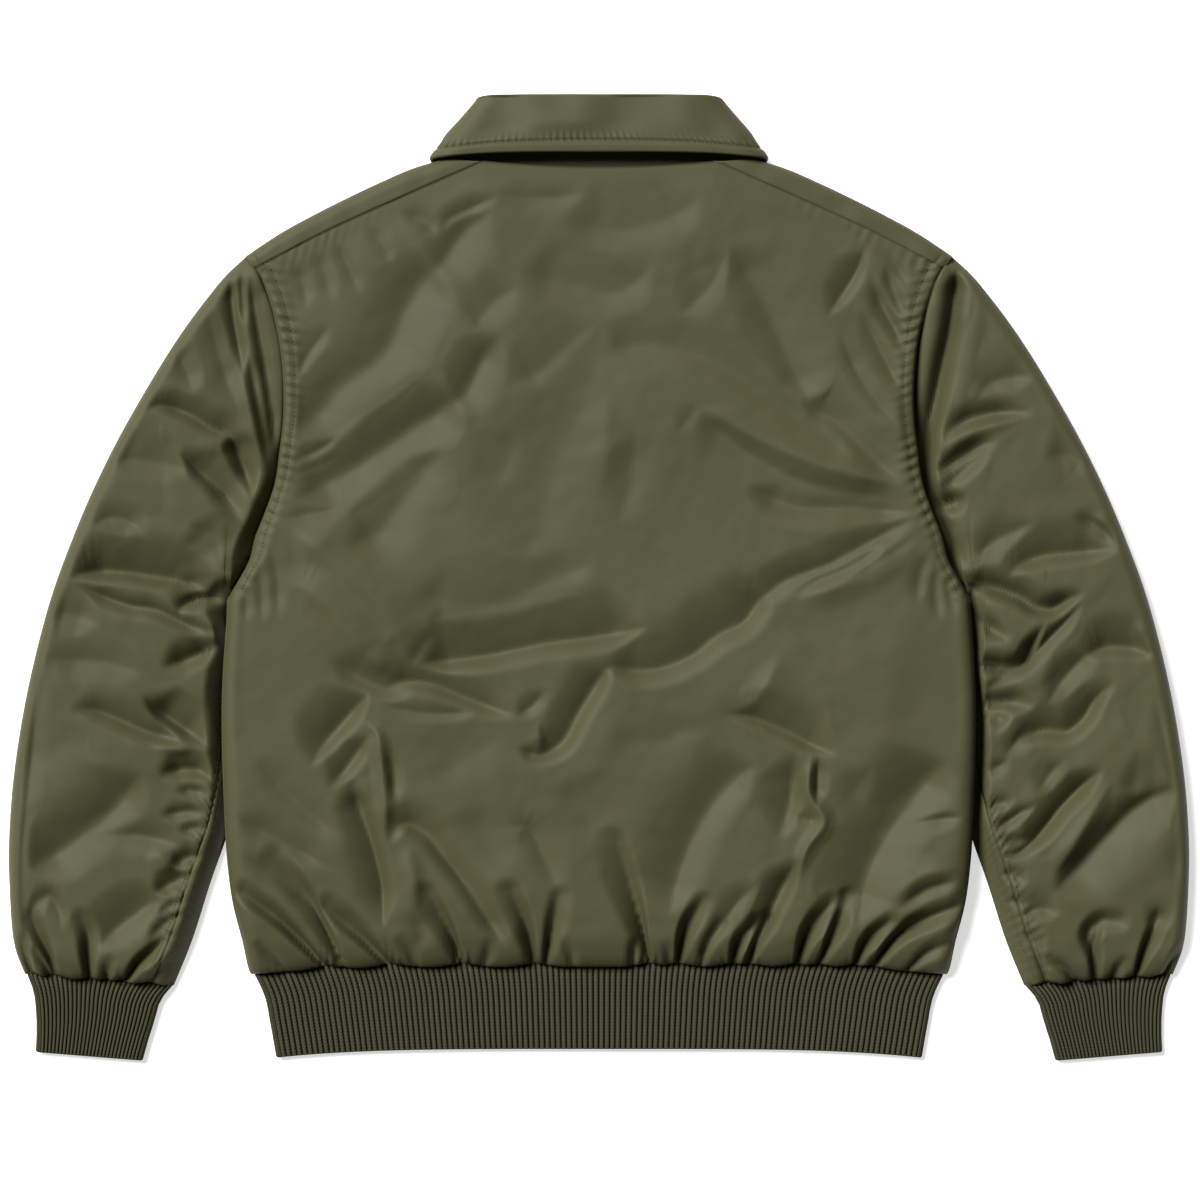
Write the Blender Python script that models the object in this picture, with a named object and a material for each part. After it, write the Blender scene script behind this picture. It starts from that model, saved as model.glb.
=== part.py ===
"""A padded bomber jacket lying flat on its front, back up, collar closed and folded over.

Every piece that is cut and sewn is one closed solid.  Sizes are in millimetres: x runs across
the back (wearer's left is -x), y from hem to collar, z up from the surface it lies on.
A piece is a wall between two grids of points: an outer one, which has the folds, gathers and
ribs, and a plain inner one.  The walls of back and front meet at a mid surface inside.
"""
import math

import bmesh
import bpy
import numpy as np

MM = 0.001
SEAM = 0.3            # clearance between two pieces at a seam
SLOT = 0.6            # clearance between the two walls that lie on each other
SLOT_SIDE = 1.6       # what is added to it where the walls curve up to the side seam
THIN = 2.2            # least thickness of a wall of cloth

# ---------------------------------------------------------------- driving sizes, body
HEM_Y = -299.5        # hem seam at the centre back
HEM_CORNER = (271.4, -307.7)
UNDERARM = (289.4, -15.2)
SHOULDER_TIP = (276.0, 253.0)      # where the armhole seam reaches the outline
SHOULDER_END = (269.0, 243.8)      # where the shoulder seam meets the armhole seam
NECK_HALF = 91.6                   # shoulder seam to centre at the neck
NECK_Y = 322.8                     # neck seam at the centre back
NECK_SIDE_Y = 327.2
NECK_EDGE = (124.0, 328.6)         # where the neck seam reaches the outline
FRONT_EDGE = 3.2                   # front panel's edge to the centre line, beside the zip

# columns: y, half width of the body's outline, below the underarm
SIDE = ((-307.7, 271.4), (-303.8, 273.0), (-280, 278.5), (-249, 285.9), (-218, 289.8), (-171, 292.5),
        (-93, 294.0), (-15.2, 289.4))
# columns: y, half width at the armhole seam
ARMHOLE = ((-15.2, 289.4), (-6.6, 285.5), (16, 273.5), (34, 268.9), (52.7, 261.5), (74.5, 254.0),
           (102.2, 249.6), (126, 246.8), (162.6, 246.8), (192.3, 250.5), (220.4, 258.0),
           (243.8, 269.0), (253.0, 276.0))
# columns: x, y of the shoulder's outline
SHOULDER = ((84, 346.5), (124, 328.6), (145.5, 321.8), (174.3, 309.3), (200.5, 296.8), (225, 284.3),
            (247.7, 271.8), (266.8, 259.4), (276, 253.0))
# columns: x, y of the shoulder seam, which lies on the back
SHOULDER_SEAM = ((91.6, 327.2), (155.2, 299.1), (211.8, 273.4), (269.0, 243.8))
SHOULDER_LEAN = math.cos(math.radians(26.5))

# columns: distance above the hem seam, height of the back's outer face
BACK_RISE = ((0, 9.0), (4, 14.5), (9, 19.5), (18, 24.5), (35, 27.5), (70, 28.5), (300, 28.5),
             (450, 27.5), (640, 27.0))
# columns: distance below the neck or shoulder seam, drop of the outer face
TOP_DROP = ((0, 8.0), (8, 5.2), (30, 2.6), (75, 1.2), (150, 0.0), (700, 0.0))
# columns: distance above the hem seam, height where the two walls meet
MIDDLE = ((0, 4.3), (8, 5.3), (20, 7.2), (45, 9.0), (300, 9.0), (480, 9.6), (545, 10.6), (660, 10.6))
# columns: distance above the hem's corner, height of the side seam
SIDE_SEAM = ((0, 4.4), (10.2, 7.6), (30.7, 13.2), (63.7, 17.2), (107.7, 18.0), (292.5, 17.6))
# columns: y, meeting height, back edge, front edge (underside) along the armhole
ARM_EDGE = ((-15.2, 16.6, 21.5, 17.4), (0, 13.4, 22.0, 11.2), (16, 11.6, 22.6, 6.4), (34, 10.8, 23.0, 2.4),
            (60, 10.6, 23.4, 0.0), (126, 10.6, 23.4, 0.0), (202, 10.4, 22.6, 0.0),
            (224, 10.3, 21.4, 0.0), (253, 10.2, 20.0, 0.0))
ROLL = 13.0           # radius of the padded side
SIDE_LIFT = 30.0      # width over which the front leaves the surface at the side
SHOULDER_ROLL = 9.5
SHOULDER_MID = 10.2   # height of the shoulder's outline
STRIP_TOP = 20.0      # height of the front panel's strip behind the shoulder
COLLAR_LIFT = 4.3     # the fronts lie on the collar's points by this much
EDGE_PAD = 3.0        # front panel's thickness beside the zip

# gathers at the hem seam: columns x at the seam, x and y where the fold runs out, width, depth 0..1
GATHERS = ((-240, -262, -262, 9, 0.45), (-205, -276, -240, 9, 0.80), (-164, -213, -252, 9, 0.75),
           (-105, -131, -240, 9, 0.85), (-50, -63, -236, 9, 0.85), (-5, -6, -262, 8, 0.45),
           (37, 14, -207, 9, 0.65), (66, 84, -245, 9, 0.80), (106, 122, -262, 8, 0.70),
           (156, 184, -238, 9, 0.85), (205, 232, -262, 9, 0.75), (243, 284, -256, 8, 0.60))
SCALLOP = 1.8         # how far the cloth swells over the rib between two gathers
# folds of the back: columns depth, width, points that the trough runs through
BACK_FOLDS = (
    (5.0, 12, ((-236, 63), (-200, 91), (-164, 119), (-112, 137), (-74, 191))),
    (4.2, 12, ((-236, 115), (-200, 155), (-172, 175), (-140, 223))),
    (3.0, 9, ((-240, 40), (-208, 2), (-160, -34))),
    (3.2, 9, ((-226, -8), (-184, -52), (-150, -64))),
    (5.5, 17, ((-140, -62), (-70, -52), (0, -36), (60, -46), (104, -26), (137, 9), (236, 52))),
    (4.0, 22, ((-50, 8), (-30, 60), (-8, 120), (0, 178))),
    (3.0, 14, ((-190, 28), (-162, 43), (-120, 99))),
    (3.6, 10, ((-170, -87), (-144, -79), (-113, -85), (-66, -104))),
    (4.6, 13, ((-38, -133), (-24, -99), (14, -62))),
    (4.8, 12, ((-226, -147), (-210, -122), (-191, -97))),
    (4.8, 9, ((-183, -130), (-190, -166), (-173, -202), (-166, -262))),
    (4.2, 9, ((-164, -209), (-148, -199), (-108, -227), (-73, -285))),
    (3.8, 14, ((238, 68), (182, 130), (166, 136), (137, 197), (102, 256))),
    (3.4, 14, ((238, 68), (150, 108), (72, 135))),
    (3.0, 9, ((238, 184), (211, 229))),
    (3.4, 16, ((-34, 229), (30, 242))),
    (3.6, 11, ((98, -103), (140, -118), (182, -131))),
    (4.0, 9, ((150, -134), (144, -205))),
    (4.6, 10, ((154, -218), (138, -250), (122, -286))),
    (3.4, 16, ((121, -147), (84, -200), (56, -256))),
    (5.0, 16, ((268, -142), (238, -200), (202, -276))),
    (2.6, 12, ((-276, -60), (-262, -120), (-250, -190))),
)

# ---------------------------------------------------------------- driving sizes, sleeves
# columns: share of the length, x, y of the sleeve's outer edge
SLEEVE_OUTER = ((0, 276, 253), (0.04, 289.4, 240.6), (0.1, 305, 221.9), (0.2, 330, 187.6),
                (0.31, 358.5, 141), (0.43, 384.5, 93), (0.55, 409, 38), (0.66, 431, -24),
                (0.77, 450.5, -108.8), (0.86, 459.5, -181), (0.92, 460.6, -232),
                (0.965, 457.0, -284), (1, 449, -307))
# columns: share of the length, x, y, height of the sleeve's inner edge
SLEEVE_INNER = ((0, 289.4, -15.2, 16.2), (0.05, 290.6, -27, 12.0), (0.1, 289.4, -44, 7.2),
                (0.16, 285, -64, 4.2), (0.3, 281, -108, 3.4), (0.45, 282, -152, 3.4),
                (0.6, 289.5, -194, 3.6), (0.75, 304, -237, 4.6), (0.88, 318, -281, 5.0),
                (1, 332, -315.5, 4.1))
# columns: share of the length, height of the upper face, height where its two walls meet
SLEEVE_LOFT = ((0, 22.0, 10.4), (0.08, 23.5, 9.0), (0.2, 25, 8.2), (0.5, 25.5, 8.0), (0.8, 25, 8.0),
               (0.9, 24, 7.4), (0.95, 20.5, 6.4), (0.98, 14.0, 5.0), (1, 9.0, 4.3))
SLEEVE_RISE = 45.0    # width over which the upper face climbs from the inner edge
SLEEVE_ROLL = 11.0    # radius of the outer edge
SEAM_INSET = 16.0     # sleeve seam to the inner edge
ARM_PUSH, ARM_PUSH_AT = 18.0, 0.08   # rows next to the armhole swing out from it
# valley beside the armhole: columns y along the armhole, height of the sleeve's edge
SLEEVE_HEAD = ((-15.2, 16.2), (0, 16.4), (16, 15.0), (34, 14.6), (60, 15.6), (100, 17.4), (150, 19.0),
               (224, 19.4), (243.8, 19.6), (253, 10.2))
SLEEVE_FOLDS_LEFT = (
    (5.5, 9, ((-276, 240), (-271, 190), (-262, 138), (-259, 100))),
    (3.6, 12, ((-290, 236), (-286, 190), (-270, 100))),
    (4.8, 9, ((-351, 134), (-331, 138), (-297, 120), (-283, 109), (-264, 66))),
    (5.5, 10, ((-324, 99), (-297, 72), (-272, 40))),
    (5.6, 13, ((-409, 5), (-343, 5), (-303, -4))),
    (4.5, 9, ((-390, -8), (-352, -26), (-305, -38))),
    (4.5, 10, ((-345, -63), (-305, -78))),
    (5.0, 10, ((-352, -88), (-330, -104), (-312, -121))),
    (3.0, 9, ((-410, -102), (-367, -89))),
    (4.4, 16, ((-444, -225), (-388, -200), (-354, -161))),
    (4.5, 8, ((-423, -302), (-437, -272))),
    (4.8, 8, ((-396, -306), (-409, -276))),
    (4.0, 10, ((-390, -290), (-380, -261), (-356, -247))),
    (4.2, 8, ((-367, -308), (-338, -278))),
)
SLEEVE_FOLDS_RIGHT = (
    (5.8, 9, ((279, 240), (273, 196), (264, 147), (257, 95))),
    (4.8, 9, ((268, 106), (283, 122), (312, 128), (336, 129))),
    (5.0, 9, ((260, 84), (289, 105), (309, 109))),
    (4.6, 9, ((262, 58), (280, 60))),
    (4.2, 12, ((318, 4), (338, 15), (370, 22), (406, 23))),
    (5.4, 11, ((292, 0), (325, -5), (348, -26), (377, -16))),
    (5.0, 11, ((296, -34), (319, -47))),
    (4.2, 9, ((298, -72), (330, -66), (353, -39))),
    (4.4, 11, ((372, -82), (382, -68), (432, -57))),
    (4.6, 13, ((322, -129), (367, -116), (409, -89))),
    (4.2, 9, ((306, -97), (340, -97))),
    (4.8, 15, ((322, -206), (367, -182), (398, -152))),
    (5.2, 14, ((353, -242), (382, -219), (419, -187), (448, -161))),
    (4.8, 8, ((389, -306), (382, -271), (403, -264))),
    (4.8, 8, ((417, -306), (430, -274))),
    (4.0, 8, ((360, -310), (368, -284))),
)

# ---------------------------------------------------------------- driving sizes, ribs
RIBS_BACK = 118       # ribs across the back of the hem band
RIBS_CUFF = 27
RIB_HEIGHT = 0.8
BAND_WALL = 3.7       # one layer of rib knit, doubled
BAND_TOP = 8.4
BAND_MID = 4.15
# columns: share of the band's depth, half width
HEM_BAND = ((0, 269.4), (0.12, 265.4), (0.25, 261.8), (0.6, 257.0), (1, 252.4))
HEM_BOTTOM_Y = -366.2
HEM_BOTTOM_CORNER_Y = -373.0
# columns: share of the cuff's depth, outer x, y, inner x, y
CUFF_EDGES = ((0, 447.4, -307.4, 333.0, -316.2), (0.2, 442.6, -320, 342.0, -327),
              (0.5, 440.2, -339, 347.8, -345), (0.8, 440.0, -357, 353.2, -362),
              (1, 440.6, -368.6, 356.8, -375.4))

# ---------------------------------------------------------------- driving sizes, collar
LEAF_WALL = 3.4
STAND_WALL = 2.4
# collar leaf, half of it: columns share of its length, fold x, y, z, lower edge x, y, z
LEAF = ((0.00, 0, 377.4, 13.6, 0, 335.2, 20.6), (0.16, 34, 377.5, 13.6, 46, 335.0, 20.6),
        (0.32, 68, 377.4, 13.6, 92, 333.6, 20.4), (0.42, 87, 377.0, 13.2, 120, 331.2, 19.4),
        (0.47, 93.6, 375.6, 11.2, 128.2, 330.4, 15.6), (0.50, 95.6, 373.6, 7.6, 130.6, 329.8, 10.0),
        (0.53, 93.6, 370.6, 3.6, 129.0, 326.0, 3.2), (0.60, 84, 360.0, 1.75, 124, 306.0, 1.75),
        (0.78, 48, 328.0, 1.75, 104, 268.0, 1.75), (1.00, 5, 298.0, 1.75, 74, 240.0, 1.75))
# collar stand, half of it: columns share of its length, neck seam x, y, z, top x, y, z
STAND = ((0.00, 0, 323.2, 13.3, 0, 373.6, 9.7), (0.16, 30.5, 323.7, 13.3, 34, 373.8, 9.7),
         (0.32, 64, 325.5, 13.3, 66, 373.6, 9.7), (0.42, 91.6, 327.8, 13.2, 82, 373.0, 9.5),
         (0.47, 110, 328.8, 12.4, 87.6, 371.6, 8.9), (0.50, 123.8, 330.8, 9.8, 89.4, 369.4, 7.6),
         (0.515, 121.0, 329.0, 8.0, 88.4, 367.7, 7.0), (0.53, 118.6, 324.2, 6.6, 87.4, 366.0, 6.4),
         (0.56, 112.2, 311.0, 5.8, 84, 361.0, 5.8),
         (0.60, 103.0, 295.2, 5.8, 78, 354.0, 5.8), (0.68, 81.6, 281.2, 5.8, 63, 339.0, 5.8),
         (0.78, 59.4, 267.2, 5.8, 46, 322.4, 5.8), (0.89, 31.4, 262.0, 5.8, 25, 307.4, 5.8),
         (1.00, 4.4, 257.0, 5.8, 5, 294.4, 5.8))

# ---------------------------------------------------------------- driving sizes, zip
ZIP_BOTTOM_Y = -364.0
ZIP_TOP_Y = 254.6
TAPE_HALF, TAPE_END_HALF = 14.0, 5.0
TAPE_LOW, TAPE_HIGH = 3.3, 4.1
CHAIN_HALF, CHAIN_LOW = 2.6, 0.7
SLIDER_HALF = 4.4
SLIDER_Y = (237.5, 249.5)          # zip closed, so the slider is at its top
POST_Y, POST_HALF = 247.0, 0.9
LOWER_PLATE = (2.9, 3.9)
UPPER_PLATE = (8.7, 9.7)
BAIL_HALF, BAIL_LOW, BAIL_BAR = 0.7, 0.4, 0.9
BAIL_LEG = 1.2
BAIL_Y = (239.5, 249.5)
PULL_LENGTH, PULL_HALF, PULL_THICK = 30.0, 3.2, 1.0
PULL_HOLE_HALF, PULL_HOLE_LENGTH = 1.1, 7.0
HINGE_Y, HINGE_Z = 246.0, 2.1


# ================================================================ curves and folds
def curve(table, at):
    """Smooth curve through a table's rows: p(t) is the cubic Hermite blend of each two rows,
    with the slopes of np.gradient; the first column is t and the others are returned."""
    rows = np.array(table, float)
    t, p = rows[:, 0], rows[:, 1:]
    at = np.clip(np.asarray(at, float), t[0], t[-1])
    slope = np.gradient(p, t, axis=0)
    i = np.clip(np.searchsorted(t, at, side="right") - 1, 0, len(t) - 2)
    h = t[i + 1] - t[i]
    s = ((at - t[i]) / h)[..., None]
    h = h[..., None]
    out = ((2 * s**3 - 3 * s**2 + 1) * p[i] + (s**3 - 2 * s**2 + s) * h * slope[i]
           + (3 * s**2 - 2 * s**3) * p[i + 1] + (s**3 - s**2) * h * slope[i + 1])
    return out[..., 0] if out.shape[-1] == 1 else out


def straight(table, at):
    """Straight runs between a two-column table's rows."""
    rows = np.array(table, float)
    return np.interp(at, rows[:, 0], rows[:, 1])


def ramp(value, low, high):
    """0 below low, 1 above high, smooth between."""
    s = np.clip((value - low) / (high - low), 0, 1)
    return s * s * (3 - 2 * s)


def arc(distance, radius):
    """Height of a quarter circle, 0 at the edge and 1 from one radius inwards."""
    s = np.clip(distance / radius, 0, 1)
    return np.sqrt(1 - (1 - s) ** 2)


def trough(x, y, points, width):
    """1 along a chain of points and exp(-(d/width)^2) beside it, with faded ends."""
    points = np.array(points, float)
    steps = np.linalg.norm(np.diff(points, axis=0), axis=1)
    start = np.concatenate([[0], np.cumsum(steps)])
    nearest = np.full(x.shape, 1e9)
    place = np.zeros(x.shape)
    for a, b, s0, step in zip(points[:-1], points[1:], start, steps):
        run = (b - a) / step
        along = np.clip((x - a[0]) * run[0] + (y - a[1]) * run[1], 0, step)
        gap = np.hypot(x - a[0] - along * run[0], y - a[1] - along * run[1])
        place = np.where(gap < nearest, (s0 + along) / start[-1], place)
        nearest = np.minimum(nearest, gap)
    fade = np.sin(np.pi * np.clip(0.12 + 0.76 * place, 0, 1)) ** 0.7
    return fade * np.exp(-(nearest / width) ** 2)


def folds(x, y, table):
    """Sum of the folds' troughs, in millimetres below the plain face."""
    depth = np.zeros(x.shape)
    for deep, width, points in table:
        depth = np.maximum(depth, deep * trough(x, y, points, width))
    return depth


def gap_to(points, x, y):
    """Distance from each place to a chain of points."""
    points = np.asarray(points, float)
    best = np.full(np.shape(x), 1e9)
    for a, b in zip(points[:-1], points[1:]):
        step = b - a
        s = np.clip(((x - a[0]) * step[0] + (y - a[1]) * step[1]) / (step @ step), 0, 1)
        best = np.minimum(best, np.hypot(x - a[0] - s * step[0], y - a[1] - s * step[1]))
    return best


def moved_out(points, distance):
    """A chain of points in plan, moved to its left by a distance."""
    run = np.gradient(points, axis=0)
    run /= np.linalg.norm(run, axis=1)[:, None]
    return points + distance * np.column_stack([-run[:, 1], run[:, 0]])


# ================================================================ walls
def bridge(first, first_at, second, second_at):
    """Triangles between two rows of vertices, each with its places from 0 to 1."""
    faces, i, j = [], 0, 0
    while i < len(first) - 1 or j < len(second) - 1:
        if j == len(second) - 1 or (i < len(first) - 1 and first_at[i + 1] <= second_at[j + 1] + 1e-9):
            faces.append((first[i], first[i + 1], second[j]))
            i += 1
        else:
            faces.append((first[i], second[j + 1], second[j]))
            j += 1
    return faces


def grid_faces(ids):
    """Two triangles for each cell of a grid of vertex numbers."""
    faces = []
    for r in range(ids.shape[0] - 1):
        for c in range(ids.shape[1] - 1):
            a, b, d, e = ids[r, c], ids[r, c + 1], ids[r + 1, c], ids[r + 1, c + 1]
            if (r + c) % 2:
                faces += [(a, b, e), (a, e, d)]
            else:
                faces += [(a, b, d), (b, e, d)]
    return faces


def border(ids):
    """The four sides of a grid of vertex numbers, in one turn."""
    return [ids[0, :], ids[:, -1], ids[-1, ::-1], ids[::-1, 0]]


def wall(name, outer, inner, rows, columns, material, closed=False):
    """A wall between an outer grid and an inner one that has only some of its rows and columns.
    A closed wall runs round in its columns, so it has rims at its two ends only."""
    n_rows, n_columns = outer.shape[:2]
    ids = np.arange(n_rows * n_columns).reshape(n_rows, n_columns)
    inner_ids = ids.size + np.arange(inner.shape[0] * inner.shape[1]).reshape(inner.shape[:2])
    rows, columns = np.array(rows), np.array(columns)
    if closed:
        ids = np.column_stack([ids, ids[:, 0]])
        inner_ids = np.column_stack([inner_ids, inner_ids[:, 0]])
        columns = np.append(columns, n_columns)
    faces = grid_faces(ids) + [f[::-1] for f in grid_faces(inner_ids)]
    last = (ids.shape[1] - 1, ids.shape[0] - 1)
    places = [columns / last[0], rows / last[1], 1 - columns[::-1] / last[0], 1 - rows[::-1] / last[1]]
    for k, (edge, inside, at) in enumerate(zip(border(ids), border(inner_ids), places)):
        if closed and k % 2:
            continue
        faces += [f[::-1] for f in bridge(edge, np.linspace(0, 1, len(edge)), inside, at)]
    points = np.concatenate([outer.reshape(-1, 3), inner.reshape(-1, 3)])
    return solid(name, points, faces, material)


def solid(name, points, faces, material):
    """One closed mesh object from points in millimetres, its faces turned outwards."""
    mesh = bpy.data.meshes.new(name)
    mesh.from_pydata((np.asarray(points) * MM).tolist(), [], [tuple(int(i) for i in f) for f in faces])
    work = bmesh.new()
    work.from_mesh(mesh)
    if work.calc_volume(signed=True) < 0:
        bmesh.ops.reverse_faces(work, faces=work.faces)
    work.to_mesh(mesh)
    work.free()
    mesh.shade_smooth()
    mesh.set_sharp_from_angle(angle=math.radians(50))
    item = bpy.data.objects.new(name, mesh)
    item.data.materials.append(material)
    bpy.context.scene.collection.objects.link(item)
    return item


def thinned(count, keep=()):
    """Every second number up to count - 1, with both ends and the ones to keep."""
    return sorted(set(range(0, count, 2)) | {count - 1} | set(keep))


def material(name, colour, roughness, metallic=0.0):
    made = bpy.data.materials.new(name)
    made.use_nodes = True
    shader = made.node_tree.nodes["Principled BSDF"]
    shader.inputs["Base Color"].default_value = (*colour, 1)
    shader.inputs["Roughness"].default_value = roughness
    shader.inputs["Metallic"].default_value = metallic
    made.diffuse_color = (*colour, 1)
    return made


def mirrored(points):
    return points * np.array([-1.0, 1.0, 1.0])


# ================================================================ the body's common form
def half_width(y):
    """Half width of the body's outline at y, side below the underarm and armhole above."""
    y = np.asarray(y, float)
    return np.where(y <= UNDERARM[1], curve(SIDE, y), curve(ARMHOLE, y))


def hem_line(x):
    """The hem seam sags towards its corners: y = y0 - drop (x / x1)^6."""
    return HEM_Y + (HEM_CORNER[1] - HEM_Y) * (np.abs(x) / HEM_CORNER[0]) ** 6


def top_line(x):
    """Neck seam up to the shoulder seam, then the shoulder seam."""
    x = np.abs(x)
    neck = NECK_Y + (NECK_SIDE_Y - NECK_Y) * (x / NECK_HALF) ** 2
    return np.where(x <= NECK_HALF, neck, curve(SHOULDER_SEAM, x))


def collar_lift(x, y):
    """How far the fronts are lifted by the collar's points beneath them."""
    return COLLAR_LIFT * ramp(y, 178, 208) * (1 - ramp(np.abs(x), 138, 168))


def side_lift(edge_height, inwards):
    """Underside near the side: z = h (1 - d / w)^1.5, with w in proportion to h."""
    reach = SIDE_LIFT * np.maximum(edge_height, 1e-6) / 18.0
    return edge_height * np.clip(1 - inwards / reach, 0, 1) ** 1.5


def slot(inwards):
    """Clearance between back and front, wider just inside the side seam."""
    return SLOT + SLOT_SIDE * ramp(inwards, 3, 8) * (1 - ramp(inwards, 30, 60))


def meeting(x, y, side_y, above_hem, inwards):
    """Height of the surface where back and front lie on each other; side_y is the place on
    the side that the row of points ends at."""
    plain = curve(MIDDLE, above_hem)
    zip_dip = 1 - ramp(np.abs(x), 20, 42)
    plain = plain - zip_dip * np.clip(plain - 4.9 - collar_lift(x, y), 0, 9) * (1 - ramp(y, 200, 232))
    below = side_y <= UNDERARM[1] + 0.01
    seam = straight(SIDE_SEAM, side_y - HEM_CORNER[1])
    edge = curve(ARM_EDGE, side_y)[..., 0]
    near_side = (seam - plain) * np.exp(-np.clip(inwards - THIN - 0.8, 0, None) / 14)
    near_arm = (edge - plain) * np.exp(-np.clip(inwards, 0, None) / 20)
    return plain + np.where(below, near_side, near_arm)


# ================================================================ back
BACK_ROWS = (-307.7, -303.2, -297.5, -289, -277, -262, -244, -223, -200, -176, -152, -128, -104, -80,
             -57, -35, -15.2, 0, 16, 34, 54, 76, 100, 126, 152, 178, 202, 224, 243.8)
SIDE_STEPS = (0, 2, 6.5, 13)       # columns in the roll at the side, from the edge


def back_stations():
    """x of each column at the hem seam and at the top: columns follow the gathers below
    and the ends of the shoulder seams above."""
    hem = [-HEM_CORNER[0] + step for step in SIDE_STEPS]
    centres = [row[0] for row in GATHERS]
    for left, right in zip(centres[:-1], centres[1:]):
        hem += [left + (right - left) * share for share in (0, 0.22, 0.5, 0.78)]
    hem += [centres[-1]] + [HEM_CORNER[0] - step for step in SIDE_STEPS[::-1]]
    arm = [SHOULDER_END[0] - step for step in SIDE_STEPS]
    shoulder = np.linspace(arm[-1], NECK_HALF, 14)[1:]
    neck = np.linspace(-NECK_HALF, NECK_HALF, 21)[1:-1]
    right = np.concatenate([neck[neck > 0], shoulder[::-1], arm[::-1]])
    top = np.concatenate([-right[::-1], [0], right])
    return np.array(hem), top


def back_plan():
    """x and y of the back's grid: sides on the outline, hem and top on their seams."""
    side = np.array(BACK_ROWS)[:, None]
    share = (side - side[0]) / (side[-1] - side[0])
    hem, top = back_stations()
    across = (1 - share) * hem / HEM_CORNER[0] + share * top / SHOULDER_END[0]
    x = half_width(side) * across
    between = np.array([[row[0]] for row in GATHERS])
    nearest = np.abs(hem[None, :] - between).min(axis=0)
    swell = SCALLOP * (np.clip(nearest / 14, 0, 1) ** 0.5 - 0.5) * (1 - (np.abs(hem) / HEM_CORNER[0]) ** 12)
    hem_y = hem_line(hem) - swell
    y = side + (1 - share) ** 2 * (hem_y - HEM_CORNER[1]) + share * (top_line(top) - SHOULDER_END[1])
    y[1:] += ((1 - share) - (1 - share) ** 2)[1:] * (hem_line(hem) - HEM_CORNER[1])
    return x, y, side + 0 * x, y - hem_y, top_line(top) - y


def back_height(x, y, side, above_hem, below_top, inwards):
    """Outer face of the back: loft, then the gathers, then the folds, then its edges."""
    plain = curve(BACK_RISE, above_hem) - curve(TOP_DROP, np.abs(below_top))
    for x0, x1, y1, width, deep in GATHERS:
        pleat = trough(x, y, ((x0, HEM_Y - 16), (x0, HEM_Y + 2), (x1, y1)), width)
        plain = plain - deep * (plain - BACK_RISE[0][1]) * pleat
    clear = ramp(inwards, 3, 16) * ramp(above_hem, 6, 30) * ramp(np.abs(below_top), 4, 24)
    plain = plain - clear * folds(x, y, BACK_FOLDS)
    seam = straight(SIDE_SEAM, side - HEM_CORNER[1]) + SEAM / 2
    rolled = seam + (plain - seam) * arc(inwards, ROLL)
    edge = np.minimum(curve(ARM_EDGE, side)[..., 1], plain)
    sloped = plain - (plain - edge) * np.clip(1 - inwards / 16, 0, 1) ** 2
    return np.where(side <= UNDERARM[1], rolled, sloped)


def back_panel(cloth):
    x, y, side, above_hem, below_top = back_plan()
    inwards = half_width(side) - np.abs(x)
    z = back_height(x, y, side, above_hem, below_top, inwards)
    middle = meeting(x, y, side, above_hem, inwards) + slot(inwards) / 2
    z = np.maximum(z, middle + np.where(inwards > 2, THIN, 0))
    below = side <= UNDERARM[1]
    seam = straight(SIDE_SEAM, side - HEM_CORNER[1]) + SEAM / 2
    edge = inwards < 0.01
    outer_z = np.where(edge & below, seam, z)
    inner_x = np.where(below, np.sign(x) * np.minimum(np.abs(x), half_width(side) - THIN - 0.8), x)
    inner_z = np.where(edge & below, seam, middle)
    outer = np.stack([x, y, outer_z], axis=-1)
    inner = np.stack([inner_x, y, inner_z], axis=-1)
    rows = list(range(x.shape[0]))
    columns = thinned(x.shape[1], keep=[1, x.shape[1] - 2])
    wall("back", outer, inner[np.ix_(rows, columns)], rows, columns, cloth)
    return outer


# ================================================================ fronts
FRONT_HEM_X = (3.2, 14, 24, 42, 64, 88, 112, 136, 160, 184, 206, 226, 243, 258.4, 264.9, 269.4, 271.4)
FRONT_SIDE_Y = (-307.7, -297.5, -277, -244, -200, -152, -104, -57, -15.2, 0, 16, 34, 76, 126, 178, 224,
                253)
# columns: x, y up the centre front and along the neck seam
FRONT_MIDDLE = ((3.2, -299.5), (3.2, -289.5), (3.2, -269), (3.2, -236), (3.2, -190), (3.2, -138),
                (3.2, -82), (3.2, -24), (3.2, 36), (3.2, 84), (3.2, 130), (3.2, 178), (3.2, 210),
                (3.2, 256), (60, 266), (104, 294), (124, 328.6))
NECK_ROW = 13                      # the row of these that ends at the top of the zip
ZIP_COLUMNS = slice(1, 3)          # columns that keep their distance from the zip
NEAR_SHOULDER = (11.0, 3.3)        # rows in the roll of the shoulder, from its outline
STRIP_SHARES = (0.07, 0.25, 0.6, 1)


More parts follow.
